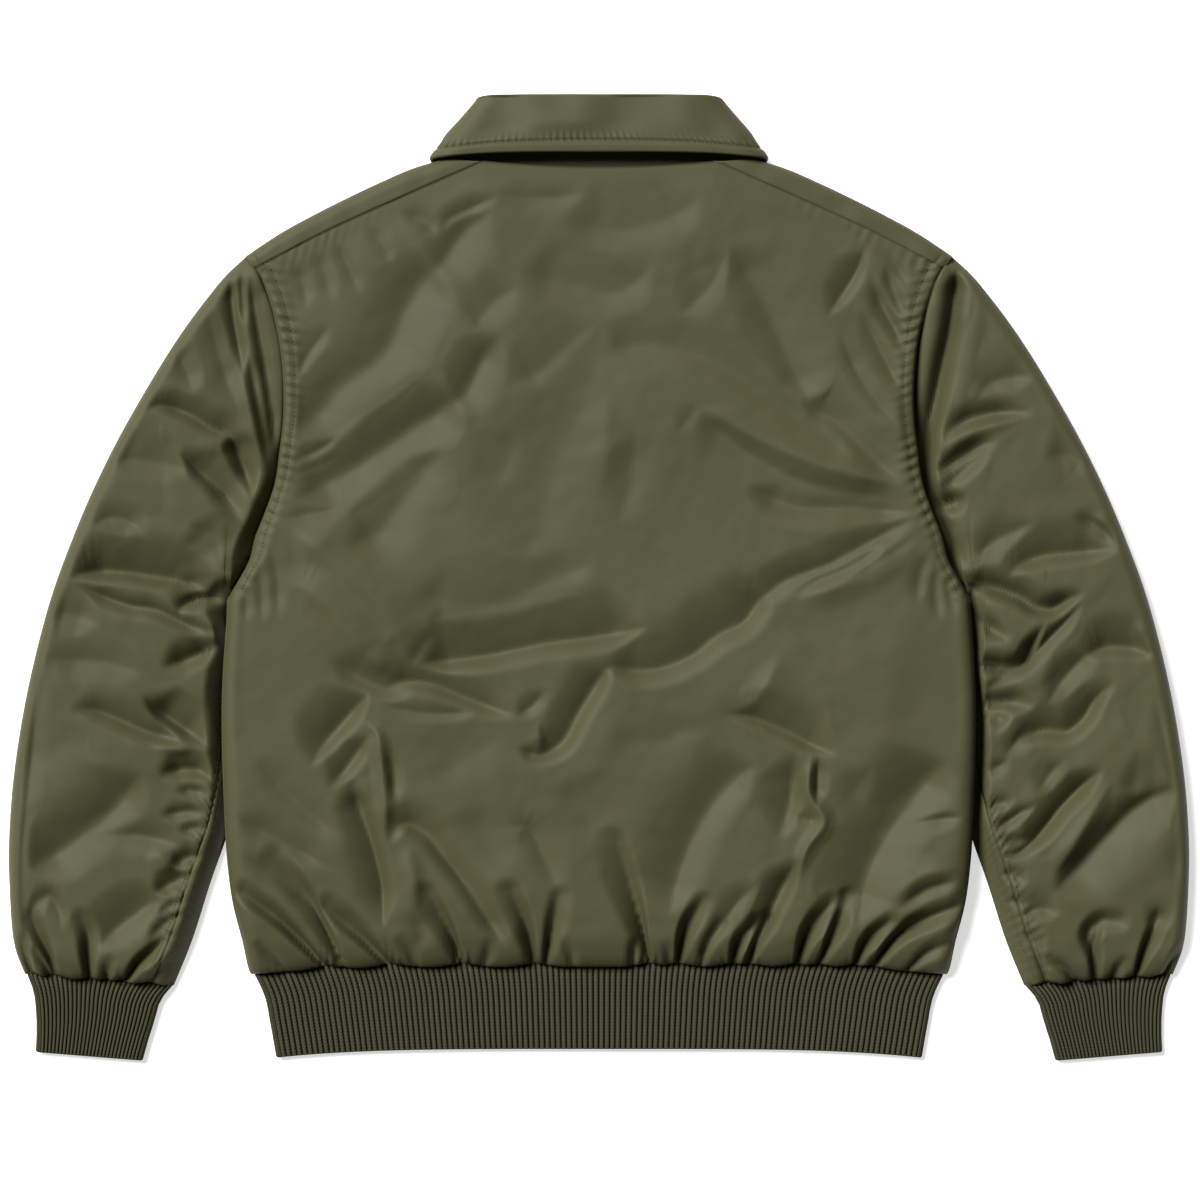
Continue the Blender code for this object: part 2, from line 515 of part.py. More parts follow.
def front_plan():
    """x and y of the right front: rows run from the zip to the side, the last ones over the
    shoulder to its seam on the back."""
    _, top = back_stations()
    seam_x = top[top >= NECK_HALF - 0.01]
    share_top = (seam_x - NECK_HALF) / (SHOULDER_END[0] - NECK_HALF)
    share_hem = (np.array(FRONT_HEM_X) - FRONT_EDGE) / (HEM_CORNER[0] - FRONT_EDGE)
    side_y = np.array(FRONT_SIDE_Y)
    side = np.column_stack([half_width(side_y), side_y])
    middle = np.array(FRONT_MIDDLE, float)
    up = np.linspace(0, 1, len(side_y))[:, None]
    share = (1 - up) * share_hem + up * share_top
    span = side[:NECK_ROW + 1, :1] - FRONT_EDGE
    share[:NECK_ROW + 1, ZIP_COLUMNS] = (np.array(FRONT_HEM_X)[ZIP_COLUMNS] - FRONT_EDGE) / span
    x = middle[:, :1] * (1 - share) + side[:, :1] * share
    share[:NECK_ROW + 1, ZIP_COLUMNS] = 0
    y = middle[:, 1:] * (1 - share) + side[:, 1:] * share
    y = y + (1 - up) ** 4 * (hem_line(x) - y[0])
    outline_x = NECK_EDGE[0] + (SHOULDER_TIP[0] - NECK_EDGE[0]) * share_top
    outline = np.column_stack([outline_x, curve(SHOULDER, outline_x)])
    seam = moved_out(np.column_stack([seam_x, curve(SHOULDER_SEAM, seam_x)]), SEAM)
    below = np.stack([x[:-1], y[:-1]], axis=-1)
    last = below[-1]
    length = np.linalg.norm(last - outline, axis=1)[:, None]
    roll = [outline + (last - outline) * inset / length for inset in NEAR_SHOULDER]
    strip = [outline + (seam - outline) * part for part in STRIP_SHARES]
    grid = np.concatenate([below, roll, [outline], strip])
    return grid, len(below) + len(roll)


def front_panel(name, side, cloth):
    grid, fold = front_plan()
    x, y = grid[..., 0], grid[..., 1]
    on_back = np.arange(len(grid))[:, None] > fold
    inwards = np.clip(half_width(np.minimum(y, SHOULDER_TIP[1])) - x, 0, None)
    to_outline = np.clip((curve(SHOULDER, x) - y) * SHOULDER_LEAN, 0, None)
    to_outline[fold] = 0
    above_hem = y - hem_line(x)
    seam = straight(SIDE_SEAM, y - HEM_CORNER[1]) - SEAM / 2
    edge = np.where(y <= UNDERARM[1] + 0.01, seam, curve(ARM_EDGE, y)[..., 2])
    lifted = collar_lift(x, y)
    under = np.maximum(lifted, side_lift(edge, inwards))
    under = SHOULDER_MID - (SHOULDER_MID - under) * arc(to_outline, SHOULDER_ROLL)
    over = SHOULDER_MID + (STRIP_TOP - SHOULDER_MID) * arc(to_outline, SHOULDER_ROLL)
    outer = np.stack([x, y, np.where(on_back, over, under)], axis=-1)

    below_arm = y <= UNDERARM[1] + 0.01
    middle = meeting(x, y, y, above_hem, inwards)
    inner_z = middle + np.where(on_back, 0.5, -0.5) * slot(inwards)
    beside_zip = under + EDGE_PAD + 20 * ramp(x, 26, 48)
    inner_z = np.where(on_back, inner_z, np.minimum(inner_z, beside_zip))
    inner_z[fold] = middle[fold]
    at_side = (inwards < 0.01) & below_arm
    inner_z = np.where(at_side, seam, inner_z)
    inner_x = np.where(below_arm, np.minimum(x, half_width(y) - THIN - 0.8), x)
    inner = np.stack([inner_x, y, inner_z], axis=-1)
    step = grid[fold + 3] - grid[fold]
    inner[fold, :, :2] = grid[fold] + step * 3.2 / np.linalg.norm(step, axis=1)[:, None]
    step = grid[fold - 2] - grid[fold]
    inner[fold - 1, :, :2] = grid[fold] + step * 6.0 / np.linalg.norm(step, axis=1)[:, None]
    rows = [r for r in range(len(grid)) if r not in (fold - 1, fold + 1, fold + 2)]
    columns = thinned(len(FRONT_HEM_X), keep=[len(FRONT_HEM_X) - 2])
    flip = (lambda p: p) if side > 0 else mirrored
    wall(name, flip(outer), flip(inner[np.ix_(rows, columns)]), rows, columns, cloth)
    return outer, fold


# ================================================================ sleeves
SLEEVE_SHARES = (0, 0.015, 0.045, 0.08, 0.12, 0.165, 0.21, 0.255, 0.30, 0.345, 0.39, 0.435, 0.48, 0.53,
                 0.58, 0.63, 0.68, 0.73, 0.78, 0.83, 0.88, 0.93, 0.965, 0.985, 1)


def sleeve_frame():
    """Outer and inner edge for each share of the length, and how far a step across must be
    stretched so that it leads a millimetre away from each of them."""
    share = np.array(SLEEVE_SHARES)
    outer, inner = curve(SLEEVE_OUTER, share), curve(SLEEVE_INNER, share)
    across = outer - inner[:, :2]
    width = np.linalg.norm(across, axis=1)
    stretch = []
    for edge in (inner[:, :2], outer):
        run = np.gradient(edge, axis=0)
        run /= np.linalg.norm(run, axis=1)[:, None]
        lean = np.abs(run[:, 0] * across[:, 1] - run[:, 1] * across[:, 0]) / width
        stretch.append(1 / np.maximum(lean, 0.4))
    return share, outer, inner, width, stretch


def sleeve_plan(edge, from_inner, from_outer):
    """Places of a sleeve's columns.  At the armhole they are the edge's points; further down a
    column keeps its distance from the inner or the outer edge, or its share between them."""
    share, outer, inner, width, stretch = sleeve_frame()
    chord = outer[0] - inner[0, :2]
    part = (edge - inner[0, :2]) @ chord / (chord @ chord)
    bow = edge - inner[0, :2] - part[:, None] * chord
    near = np.where(np.isnan(from_inner), 0, from_inner) * stretch[0][:, None] / width[:, None]
    far = 1 - np.where(np.isnan(from_outer), 0, from_outer) * stretch[1][:, None] / width[:, None]
    free = np.isnan(from_inner) & np.isnan(from_outer)
    numbers = np.arange(len(edge))
    fixed = np.where(np.isnan(from_outer), near, far)
    target = np.array([np.interp(numbers, numbers[~free], row[~free]) for row in fixed])
    blend = ramp(share, 0, 0.3)[:, None]
    place = (1 - blend) * part + blend * target
    fade = (1 - share[:, None, None]) ** 3
    away = np.array([chord[1], -chord[0]]) / np.linalg.norm(chord)
    push = ARM_PUSH * share / ARM_PUSH_AT * np.exp(1 - share / ARM_PUSH_AT)
    grid = inner[:, None, :2] + (outer - inner[:, :2])[:, None, :] * place[..., None] + fade * bow
    grid = grid + (push[:, None] * 4 * place * (1 - place))[..., None] * away
    return grid, share


def sleeve_heights(grid, share, arm_y, table, side):
    """Upper face, underside and meeting height of a sleeve at each place of a grid."""
    x, y = grid[..., 0], grid[..., 1]
    fine = np.linspace(0, 1, 60)
    inner_line, outer_line = curve(SLEEVE_INNER, fine), curve(SLEEVE_OUTER, fine)
    inner_gap = gap_to(inner_line[:, :2], x, y)
    outer_gap = gap_to(outer_line, x, y)
    arm_gap = np.linalg.norm(grid - grid[:1], axis=-1)
    low = curve(SLEEVE_INNER, share)[:, 2][:, None]
    loft, middle = curve(SLEEVE_LOFT, share)[:, :1], curve(SLEEVE_LOFT, share)[:, 1:]
    rim = middle + 2.6 * ramp(share, 0.02, 0.1)[:, None] * (1 - ramp(share, 0.9, 1)[:, None])
    rise = np.sin(math.pi / 2 * np.clip(inner_gap / SLEEVE_RISE, 0, 1)) ** 0.9
    plain = low + (loft - low) * rise
    clear = ramp(inner_gap, 8, 24) * ramp(outer_gap, 3, 16) * ramp(share[:, None], 0.0, 0.03)
    plain = plain - clear * folds(side * x, y, table) * ramp(loft, 8.8, 15)
    head = np.broadcast_to(curve(SLEEVE_HEAD, arm_y), plain.shape)
    plain = head + (plain - head) * ramp(arm_gap, 0, 30)
    top = rim + (plain - rim) * arc(outer_gap, SLEEVE_ROLL)
    top = low + (top - low) * np.clip(inner_gap / 1.5, 0, 1) ** 0.5
    reach = 8 + 3 * np.clip(low - 3.4, 0, None)
    under = low * np.clip(1 - inner_gap / reach, 0, 1) ** 2
    arm_under = np.broadcast_to(curve(ARM_EDGE, arm_y)[..., 2], plain.shape)
    under = np.maximum(under, side_lift(arm_under, arm_gap))
    under = rim - (rim - under) * arc(outer_gap, 1.3 * SLEEVE_ROLL)
    under = low + (under - low) * np.clip(inner_gap / 1.5, 0, 1) ** 0.5
    meet = low + (middle - low) * (1 - np.exp(-np.clip(inner_gap - THIN, 0, None) / 12))
    meet = meet + (rim - meet) * np.exp(-np.clip(outer_gap - 3, 0, None) / 10)
    arm_meet = np.broadcast_to(curve(ARM_EDGE, arm_y)[..., 0], plain.shape)
    meet = meet + (arm_meet - meet) * np.exp(-arm_gap / 16)
    return np.maximum(top, meet + 0.4), np.minimum(under, meet - 0.4), meet


def sleeve(name, side, back_outer, front_outer, fold, table, cloth):
    """Upper sleeve, which reaches round the outer edge to both seams, and under sleeve."""
    first = BACK_ROWS.index(UNDERARM[1])
    top = back_outer[first:, -1, :2]
    strip = front_outer[fold:, -1, :2][::-1][1:]
    front_rows = FRONT_SIDE_Y.index(UNDERARM[1])
    bottom = front_outer[front_rows:fold, -1, :2][::-1]
    ring = moved_out(np.concatenate([top, strip]), -SEAM)
    low_ring = moved_out(np.concatenate([strip[-1:], bottom]), SEAM)[1:]
    corner = ring[0] * 0.5 + low_ring[-1] * 0.5
    none = np.nan
    seam_end = ring[1] + (ring[1] - ring[0]) / np.linalg.norm(ring[1] - ring[0]) * SEAM / 2
    edge = np.concatenate([[seam_end], ring[2:], low_ring[:-1]])
    low_end = low_ring[-2] + (low_ring[-2] - corner) / np.linalg.norm(low_ring[-2] - corner) * SEAM / 2
    edge[-1] = low_end
    count, n_top, n_strip = len(edge), len(top) - 1, len(strip)
    from_inner, from_outer = np.full(count, none), np.full(count, none)
    from_inner[[0, -1]] = SEAM_INSET + SEAM / 2
    outer_steps = [16, 8.5, 4, 1.2, 0, 3.5, 12]
    from_outer[n_top - 1:n_top - 1 + len(outer_steps)] = outer_steps
    grid, share = sleeve_plan(edge, from_inner, from_outer)
    over, under, meet = sleeve_heights(grid, share, edge[:, 1], table, side)
    tip = n_top - 1 + n_strip
    numbers = np.arange(count)
    outer_z = np.where(numbers <= tip, over, under)
    rim_z = 0.5 * (over + under)
    outer_z[:, tip] = rim_z[:, tip]
    outer = np.concatenate([grid, outer_z[..., None]], axis=-1)
    inner_z = meet + np.where(numbers < tip, SLOT / 2, -SLOT / 2)
    inner_z[:, tip] = meet[:, tip]
    inner_xy = grid.copy()
    step = grid[:, tip + 2] - grid[:, tip]
    inner_xy[:, tip] = grid[:, tip] + step * (4.2 / np.linalg.norm(step, axis=1))[:, None]
    inner = np.concatenate([inner_xy, inner_z[..., None]], axis=-1)
    rows = thinned(len(share))
    columns = [c for c in range(count) if c not in (tip - 1, tip - 2, tip + 1)]
    flip = (lambda p: p) if side > 0 else mirrored
    wall(name + "_upper", flip(outer), flip(inner[np.ix_(rows, columns)]), rows, columns, cloth)

    top_end = ring[1] - (ring[1] - ring[0]) / np.linalg.norm(ring[1] - ring[0]) * SEAM / 2
    bottom_end = low_ring[-2] - (low_ring[-2] - corner) / np.linalg.norm(low_ring[-2] - corner) * SEAM / 2
    parts = np.array([1, 0.6, 0.25, 0])[:, None]
    edge = corner + np.concatenate([(top_end - corner) * parts, (bottom_end - corner) * parts[2::-1]])
    insets = np.array([SEAM_INSET - SEAM / 2, 9, 3.5, 0, 3.5, 9, SEAM_INSET - SEAM / 2])
    grid, share = sleeve_plan(edge, insets, np.full(7, none))
    over, under, meet = sleeve_heights(grid, share, edge[:, 1], table, side)
    numbers = np.arange(7)
    outer_z = np.where(numbers < 3, over, under)
    outer_z[:, 3] = curve(SLEEVE_INNER, share)[:, 2]
    outer = np.concatenate([grid, outer_z[..., None]], axis=-1)
    inner_z = meet + np.array([0.5, 0.5, 0.5, 0, -0.5, -0.5, -0.5]) * SLOT
    inner_xy = grid.copy()
    step = grid[:, 1] - grid[:, 3]
    inner_xy[:, 3] = grid[:, 3] + step * (3.4 / np.linalg.norm(step, axis=1))[:, None]
    inner = np.concatenate([inner_xy, inner_z[..., None]], axis=-1)
    rows, columns = thinned(len(share)), [0, 1, 3, 5, 6]
    wall(name + "_under", flip(outer), flip(inner[np.ix_(rows, columns)]), rows, columns, cloth)


# ================================================================ rib knit
def ribbed(count):
    """Places and heights of a zigzag of ribs between 0 and 1: groove, crest, groove ..."""
    place = np.linspace(0, 1, 2 * count + 1)
    return place, np.arange(2 * count + 1) % 2


def band_line(x, part, width, seam):
    """y on the hem band: from its seam (part 0) to its lower edge (part 1)."""
    start = np.interp(x * HEM_BAND[0][1] / width, seam[:, 0], seam[:, 1]) - SEAM
    end = HEM_BOTTOM_Y + (HEM_BOTTOM_CORNER_Y - HEM_BOTTOM_Y) * (np.abs(x) / width) ** 4
    return start + (end - start) * part


def hem_rib(back_outer, front_outer, knit):
    """The band round the hem, open at the zip: ribbed on the back, flat where it rests."""
    place, crest = ribbed(RIBS_BACK)
    depth = np.array([0, 0.3, 0.65, 1])
    back_seam, front_seam = back_outer[0], front_outer[0]
    turn = np.radians([30, 60, 90, 120, 150])
    front_share = np.linspace(1, 0, 12)
    rows = []
    for part, width in zip(depth, curve(HEM_BAND, depth)):
        x_back = (2 * place - 1) * (width - BAND_MID)
        back = np.column_stack([x_back, band_line(x_back, part, width, back_seam),
                                BAND_TOP + RIB_HEIGHT * (crest - 1)])
        x_turn = width - BAND_MID + BAND_MID * np.sin(turn)
        y_turn = np.minimum(band_line(x_turn, part, width, back_seam),
                            band_line(x_turn, part, width, front_seam))
        right = np.column_stack([x_turn, y_turn, BAND_MID + BAND_MID * np.cos(turn)])
        x_front = FRONT_EDGE + (width - BAND_MID - FRONT_EDGE) * front_share
        front = np.column_stack([x_front, band_line(x_front, part, width, front_seam),
                                 np.zeros(len(x_front))])
        half_ring = np.concatenate([right, front])
        rows.append(np.concatenate([mirrored(half_ring)[::-1], back, half_ring]))
    outer = np.array(rows)
    n_front, n_turn, n_back = len(front_share), len(turn), len(place)
    inner = outer.copy()
    first = n_front + n_turn
    z = inner[..., 2]
    z[:, first:first + n_back] = BAND_TOP - BAND_WALL
    inner[0, :, 1] -= SCALLOP
    near_zip = ramp(np.abs(inner[..., 0]), 20, 30)
    layer = EDGE_PAD + (BAND_WALL - EDGE_PAD) * near_zip
    z[:, :n_front] = layer[:, :n_front]
    z[:, -n_front:] = layer[:, -n_front:]
    inset = BAND_WALL - 0.4
    turned = ((slice(n_front, first), -1), (slice(first + n_back, first + n_back + n_turn), 1))
    for columns, sign in turned:
        inner[:, columns, 0] -= sign * inset * np.sin(turn[::sign])[None, :]
        z[:, columns] = BAND_MID + 0.5 * np.cos(turn[::sign])[None, :]
    back_columns = list(range(first, first + n_back, 8))
    keep = [0, 2, 4, 6, 8, n_front - 1, n_front + 2]
    last = outer.shape[1] - 1
    columns = sorted(set(keep + back_columns + [first + n_back - 1] + [last - k for k in keep]))
    wall("hem_rib", outer, inner[:, columns][[0, -1]], [0, len(depth) - 1], columns, knit)


def cuff(name, side, knit):
    """Closed tube of rib knit: ribbed on top, flat underneath."""
    depth = np.array([0, 0.15, 0.4, 0.7, 1])
    edges = curve(CUFF_EDGES, depth)
    place, crest = ribbed(RIBS_CUFF)
    turn = np.radians([35, 90, 145])
    plain = np.linspace(1, 0, 9)
    rows, inner_rows = [], []
    for outer_x, outer_y, inner_x, inner_y in edges:
        far, near = np.array([outer_x, outer_y]), np.array([inner_x, inner_y])
        width = np.linalg.norm(far - near)
        unit = (far - near) / width
        span = np.concatenate([BAND_MID + (width - 2 * BAND_MID) * place,
                               width - BAND_MID + BAND_MID * np.sin(turn),
                               BAND_MID + (width - 2 * BAND_MID) * plain,
                               BAND_MID - BAND_MID * np.sin(turn)])
        z = np.concatenate([BAND_TOP + RIB_HEIGHT * (crest - 1), BAND_MID + BAND_MID * np.cos(turn),
                            np.zeros(len(plain)), BAND_MID - BAND_MID * np.cos(turn)])
        rows.append(np.column_stack([near + span[:, None] * unit, z]))
        inset = BAND_WALL - 0.4
        squeezed = np.clip(span, inset, width - inset)
        level = np.concatenate([np.full(len(place), 0.5), 0.5 * np.cos(turn), np.full(len(plain), -0.5),
                                -0.5 * np.cos(turn)])
        inner_rows.append(np.column_stack([near + squeezed[:, None] * unit, BAND_MID + level]))
    outer, inner = np.array(rows), np.array(inner_rows)
    n = len(place)
    columns = sorted(set(list(range(0, n, 9)) + [n - 1, n + 1, n + 3, n + 7, n + 11, n + 13]))
    flip = (lambda p: p) if side > 0 else mirrored
    depth_rows = [0, 2, 4]
    wall(name, flip(outer), flip(inner[np.ix_(depth_rows, columns)]), depth_rows, columns, knit, closed=True)


# ================================================================ collar
def collar_band(name, table, thick, shares, depths, cloth):
    """A band round the neck: the middle of its wall runs between the table's two lines, and
    the wall is moved out from it by half its thickness to each side."""
    half = np.array(shares)
    rows = curve(table, half)
    rows[:, 2::3] = np.maximum(rows[:, 2::3], table[-1][3])
    first, second = rows[:, :3], rows[:, 3:]
    first = np.concatenate([mirrored(first)[::-1], first[1:]])
    second = np.concatenate([mirrored(second)[::-1], second[1:]])
    depth = np.array(depths)[:, None, None]
    grid = first * (1 - depth) + second * depth
    along = np.gradient(grid, axis=1)
    across = np.gradient(grid, axis=0)
    normal = np.cross(along, across)
    normal /= np.linalg.norm(normal, axis=-1)[..., None]
    if normal[0, normal.shape[1] // 2, 2] < 0:
        normal = -normal
    outer, inner = grid + normal * thick / 2, grid - normal * thick / 2
    rows, columns = list(range(grid.shape[0])), thinned(grid.shape[1])
    wall(name, outer, inner[np.ix_(rows, columns)], rows, columns, cloth)


COLLAR_SHARES = (0, 0.06, 0.12, 0.18, 0.24, 0.30, 0.36, 0.41, 0.445, 0.47, 0.485, 0.50, 0.515, 0.53, 0.56,
                 0.60, 0.68, 0.78, 0.89, 1.0)


# ================================================================ zip
def zip_tape(name, side, tape):
    """Half of the zip: the tape's strip, and its row of teeth as one bead at the middle."""
    stations = np.array([ZIP_BOTTOM_Y, -200, 0, 178, 210, 225, 240, 245, 246.6, ZIP_TOP_Y])
    opened = np.where(stations > 246, POST_HALF + 0.4, SEAM / 2)
    lift = collar_lift(np.zeros(len(stations)), stations)
    widths = TAPE_HALF - (TAPE_HALF - TAPE_END_HALF) * ramp(stations, 225, ZIP_TOP_Y)
    points = []
    for y, inner, half, up in zip(stations, opened, widths, lift):
        section = ((half, TAPE_LOW), (half, TAPE_HIGH), (inner, TAPE_HIGH), (inner, CHAIN_LOW),
                   (CHAIN_HALF, CHAIN_LOW), (CHAIN_HALF, TAPE_LOW))
        points += [(side * x, y, z + up) for x, z in section]
    faces = [tuple(range(6)), tuple(range(len(points) - 6, len(points)))[::-1]]
    for k in range(len(stations) - 1):
        for c in range(6):
            a, b = 6 * k + c, 6 * k + (c + 1) % 6
            faces.append((a, a + 6, b + 6, b))
    if side < 0:
        faces = [f[::-1] for f in faces]
    return solid(name, points, faces, tape)


def box(name, x, y, z, metal):
    """A box between two x, two y and two z."""
    corners = [(i, j, k) for i in x for j in y for k in z]
    faces = [(0, 1, 3, 2), (4, 6, 7, 5), (0, 4, 5, 1), (2, 3, 7, 6), (0, 2, 6, 4), (1, 5, 7, 3)]
    return solid(name, corners, faces, metal)


def combined(item, other, operation):
    """Boolean of two objects; the second one stays as a hidden guide."""
    other.hide_render = True
    other.display_type = "WIRE"
    change = item.modifiers.new(other.name, "BOOLEAN")
    change.operation = operation
    change.object = other


def zip_slider(metal):
    low, high = SLIDER_Y
    slider = box("zip_slider", (-SLIDER_HALF, SLIDER_HALF), (low, high), LOWER_PLATE, metal)
    upper = box("slider_upper_plate", (-SLIDER_HALF, SLIDER_HALF), (low + 2, high), UPPER_PLATE, metal)
    post = box("slider_post", (-POST_HALF, POST_HALF), (POST_Y, high - 0.2),
               (LOWER_PLATE[0] + 0.4, UPPER_PLATE[1] - 0.4), metal)
    bail_y = (BAIL_Y[0], BAIL_Y[1] - 0.1)
    bail = box("slider_bail", (-BAIL_HALF, BAIL_HALF), bail_y, (BAIL_LOW, LOWER_PLATE[0] + 0.3), metal)
    window = box("slider_bail_window", (-2, 2), (BAIL_Y[0] + BAIL_LEG, BAIL_Y[1] - BAIL_LEG),
                 (BAIL_LOW + BAIL_BAR, LOWER_PLATE[0]), metal)
    combined(slider, post, "UNION")
    combined(slider, upper, "UNION")
    combined(slider, bail, "UNION")
    combined(slider, window, "DIFFERENCE")


def zip_pull(metal):
    """Flat tab that hangs by its end bar in the slider's bail; its origin is on the hinge."""
    end = HINGE_Y + PULL_THICK / 2
    pull = box("zip_pull", (-PULL_HALF, PULL_HALF), (end - PULL_LENGTH, end),
               (HINGE_Z - PULL_THICK / 2, HINGE_Z + PULL_THICK / 2), metal)
    hole = box("pull_hole", (-PULL_HOLE_HALF, PULL_HOLE_HALF),
               (HINGE_Y - PULL_THICK / 2 - PULL_HOLE_LENGTH, HINGE_Y - PULL_THICK / 2), (0, 5), metal)
    hinge = np.array([0, HINGE_Y, HINGE_Z]) * MM
    for vertex in pull.data.vertices:
        vertex.co = np.array(vertex.co) - hinge
    pull.location = hinge
    combined(pull, hole, "DIFFERENCE")


# ================================================================ the jacket
def main():
    for item in list(bpy.data.objects):
        bpy.data.objects.remove(item, do_unlink=True)
    cloth = material("nylon", (0.117, 0.112, 0.063), 0.48)
    knit = material("rib_knit", (0.047, 0.048, 0.027), 0.85)
    tape = material("zip_tape", (0.060, 0.058, 0.034), 0.8)
    metal = material("zip_metal", (0.22, 0.20, 0.16), 0.35, 1.0)
    back_outer = back_panel(cloth)
    for name, side, table in (("left", -1, SLEEVE_FOLDS_LEFT), ("right", 1, SLEEVE_FOLDS_RIGHT)):
        front_outer, fold = front_panel("front_" + name, side, cloth)
        sleeve("sleeve_" + name, side, back_outer, front_outer, fold, table, cloth)
        cuff("cuff_" + name, side, knit)
        zip_tape("zip_tape_" + name, side, tape)
    hem_rib(back_outer, front_outer, knit)
    collar_band("collar_leaf", LEAF, LEAF_WALL, COLLAR_SHARES, (0, 0.08, 0.3, 0.65, 1), cloth)
    collar_band("collar_stand", STAND, STAND_WALL, COLLAR_SHARES, (0, 0.3, 0.7, 1), cloth)
    zip_slider(metal)
    zip_pull(metal)


main()
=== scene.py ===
# %% [markdown]
# # A padded bomber jacket, laid flat on its front
#
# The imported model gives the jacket's pieces as plain solids.  This lesson dresses each of them:
# every panel becomes a thin shell of nylon with its folds, gathers and seams, the bands become
# rib knit, the zip gets its teeth, and every topstitch is a short piece of thread.
# Everything starts from the frame, so that each piece lies where its solid lies.

# %% load the frame
import math

import bpy
import numpy as np
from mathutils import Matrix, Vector


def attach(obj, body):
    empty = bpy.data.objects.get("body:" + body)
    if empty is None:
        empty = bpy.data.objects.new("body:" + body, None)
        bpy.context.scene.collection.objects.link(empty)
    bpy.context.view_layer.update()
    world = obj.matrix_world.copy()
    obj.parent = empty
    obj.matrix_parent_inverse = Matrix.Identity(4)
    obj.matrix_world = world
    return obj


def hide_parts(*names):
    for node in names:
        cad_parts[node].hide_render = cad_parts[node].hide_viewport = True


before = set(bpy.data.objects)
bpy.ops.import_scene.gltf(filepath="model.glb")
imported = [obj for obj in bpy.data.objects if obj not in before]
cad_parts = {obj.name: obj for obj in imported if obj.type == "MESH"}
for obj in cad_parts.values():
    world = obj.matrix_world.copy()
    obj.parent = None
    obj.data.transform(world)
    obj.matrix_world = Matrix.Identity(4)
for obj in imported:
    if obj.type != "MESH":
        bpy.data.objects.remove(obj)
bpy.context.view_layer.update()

MM = 0.001
SIDES = (("left", -1), ("right", 1))

# %% [markdown]
# ## Curves, ramps and arcs
#
# A pattern cutter draws a seam through a few measured points with a French curve.  The cubic
# Hermite blend does the same: it passes through each row of a table and takes its slope from the
# rows before and after.  Ramps and quarter circles join one height to another without a step.
# Sizes are in millimetres: x across the back, y from the hem up to the collar, z off the table.

# %% curves
def curve(table, at):
    """p(t) = cubic Hermite blend of each two rows, slopes by central differences.  The first
    column is t, the others are returned."""
    rows = np.array(table, float)
    t, p = rows[:, 0], rows[:, 1:]
    at = np.clip(np.asarray(at, float), t[0], t[-1])
    slope = np.gradient(p, t, axis=0)
    i = np.clip(np.searchsorted(t, at, side="right") - 1, 0, len(t) - 2)
    h = (t[i + 1] - t[i])[..., None]
    s = (at - t[i])[..., None] / h
    out = ((2 * s**3 - 3 * s**2 + 1) * p[i] + (s**3 - 2 * s**2 + s) * h * slope[i]
           + (3 * s**2 - 2 * s**3) * p[i + 1] + (s**3 - s**2) * h * slope[i + 1])
    return out[..., 0] if out.shape[-1] == 1 else out


def ramp(value, low, high):
    """0 below low, 1 above high, 3s^2 - 2s^3 between."""
    s = np.clip((value - low) / (high - low), 0, 1)
    return s * s * (3 - 2 * s)


def arc(distance, radius):
    """Height of a quarter circle: 0 at the edge, 1 from one radius inwards."""
    return np.sqrt(1 - (1 - np.clip(distance / radius, 0, 1)) ** 2)


def bell(distance, width):
    """exp(-(d / w)^2)"""
    return np.exp(-(distance / width) ** 2)


def hump(distance, at):
    """(d / a) exp(1 - d / a): 0 at the start, 1 at a, and slowly back to 0."""
    return distance / at * np.exp(1 - distance / at)


def run_of(points):
    """Length along a chain from its first point to each of its points."""
    return np.concatenate([[0], np.cumsum(np.linalg.norm(np.diff(points, axis=0), axis=1))])


def unit_of(vectors):
    """v / |v|"""
    return vectors / np.linalg.norm(vectors, axis=-1, keepdims=True)


# %% [markdown]
# ## From arrays to a mesh
#
# A cloth panel is a grid of points, a row after a row.  Python loops over eighty thousand points
# would take minutes, so the points and the faces are worked out as whole arrays and handed to the
# mesh with `foreach_set`.  The back's wall gets its thickness from a second, coarser grid a
# little inside the first, and strips of triangles close the edges between the two.  Bands and
# bars are tubes: a loop of points, carried along, with one face at each end.

# %% mesh helpers
def grid_quads(rows, columns, wrap=False, start=0):
    """Corner numbers of every cell of a grid; a wrapped grid joins its last column to its first."""
    r = np.arange(rows - 1)[:, None]
    c = np.arange(columns if wrap else columns - 1)[None, :]
    after = (c + 1) % columns
    quads = np.stack([r * columns + c, r * columns + after, (r + 1) * columns + after,
                      (r + 1) * columns + c], axis=-1)
    return quads.reshape(-1, 4) + start


def tube_faces(sections, corners):
    """Faces round a tube of equal sections, and one face for each of its ends."""
    ring = np.arange(corners)
    ends = np.stack([ring[::-1], (sections - 1) * corners + ring])
    return [grid_quads(sections, corners, wrap=True), ends]


def turned(faces, mirrored):
    """Faces with their corners in the opposite order where a mirror has turned them inwards."""
    return [corners[:, ::-1] for corners in faces] if mirrored else faces


def copied(faces, count, size):
    """The faces of each of count copies of a small shape that has size points."""
    first = np.arange(count)[:, None, None] * size
    return [(corners[None] + first).reshape(-1, corners.shape[1]) for corners in faces]


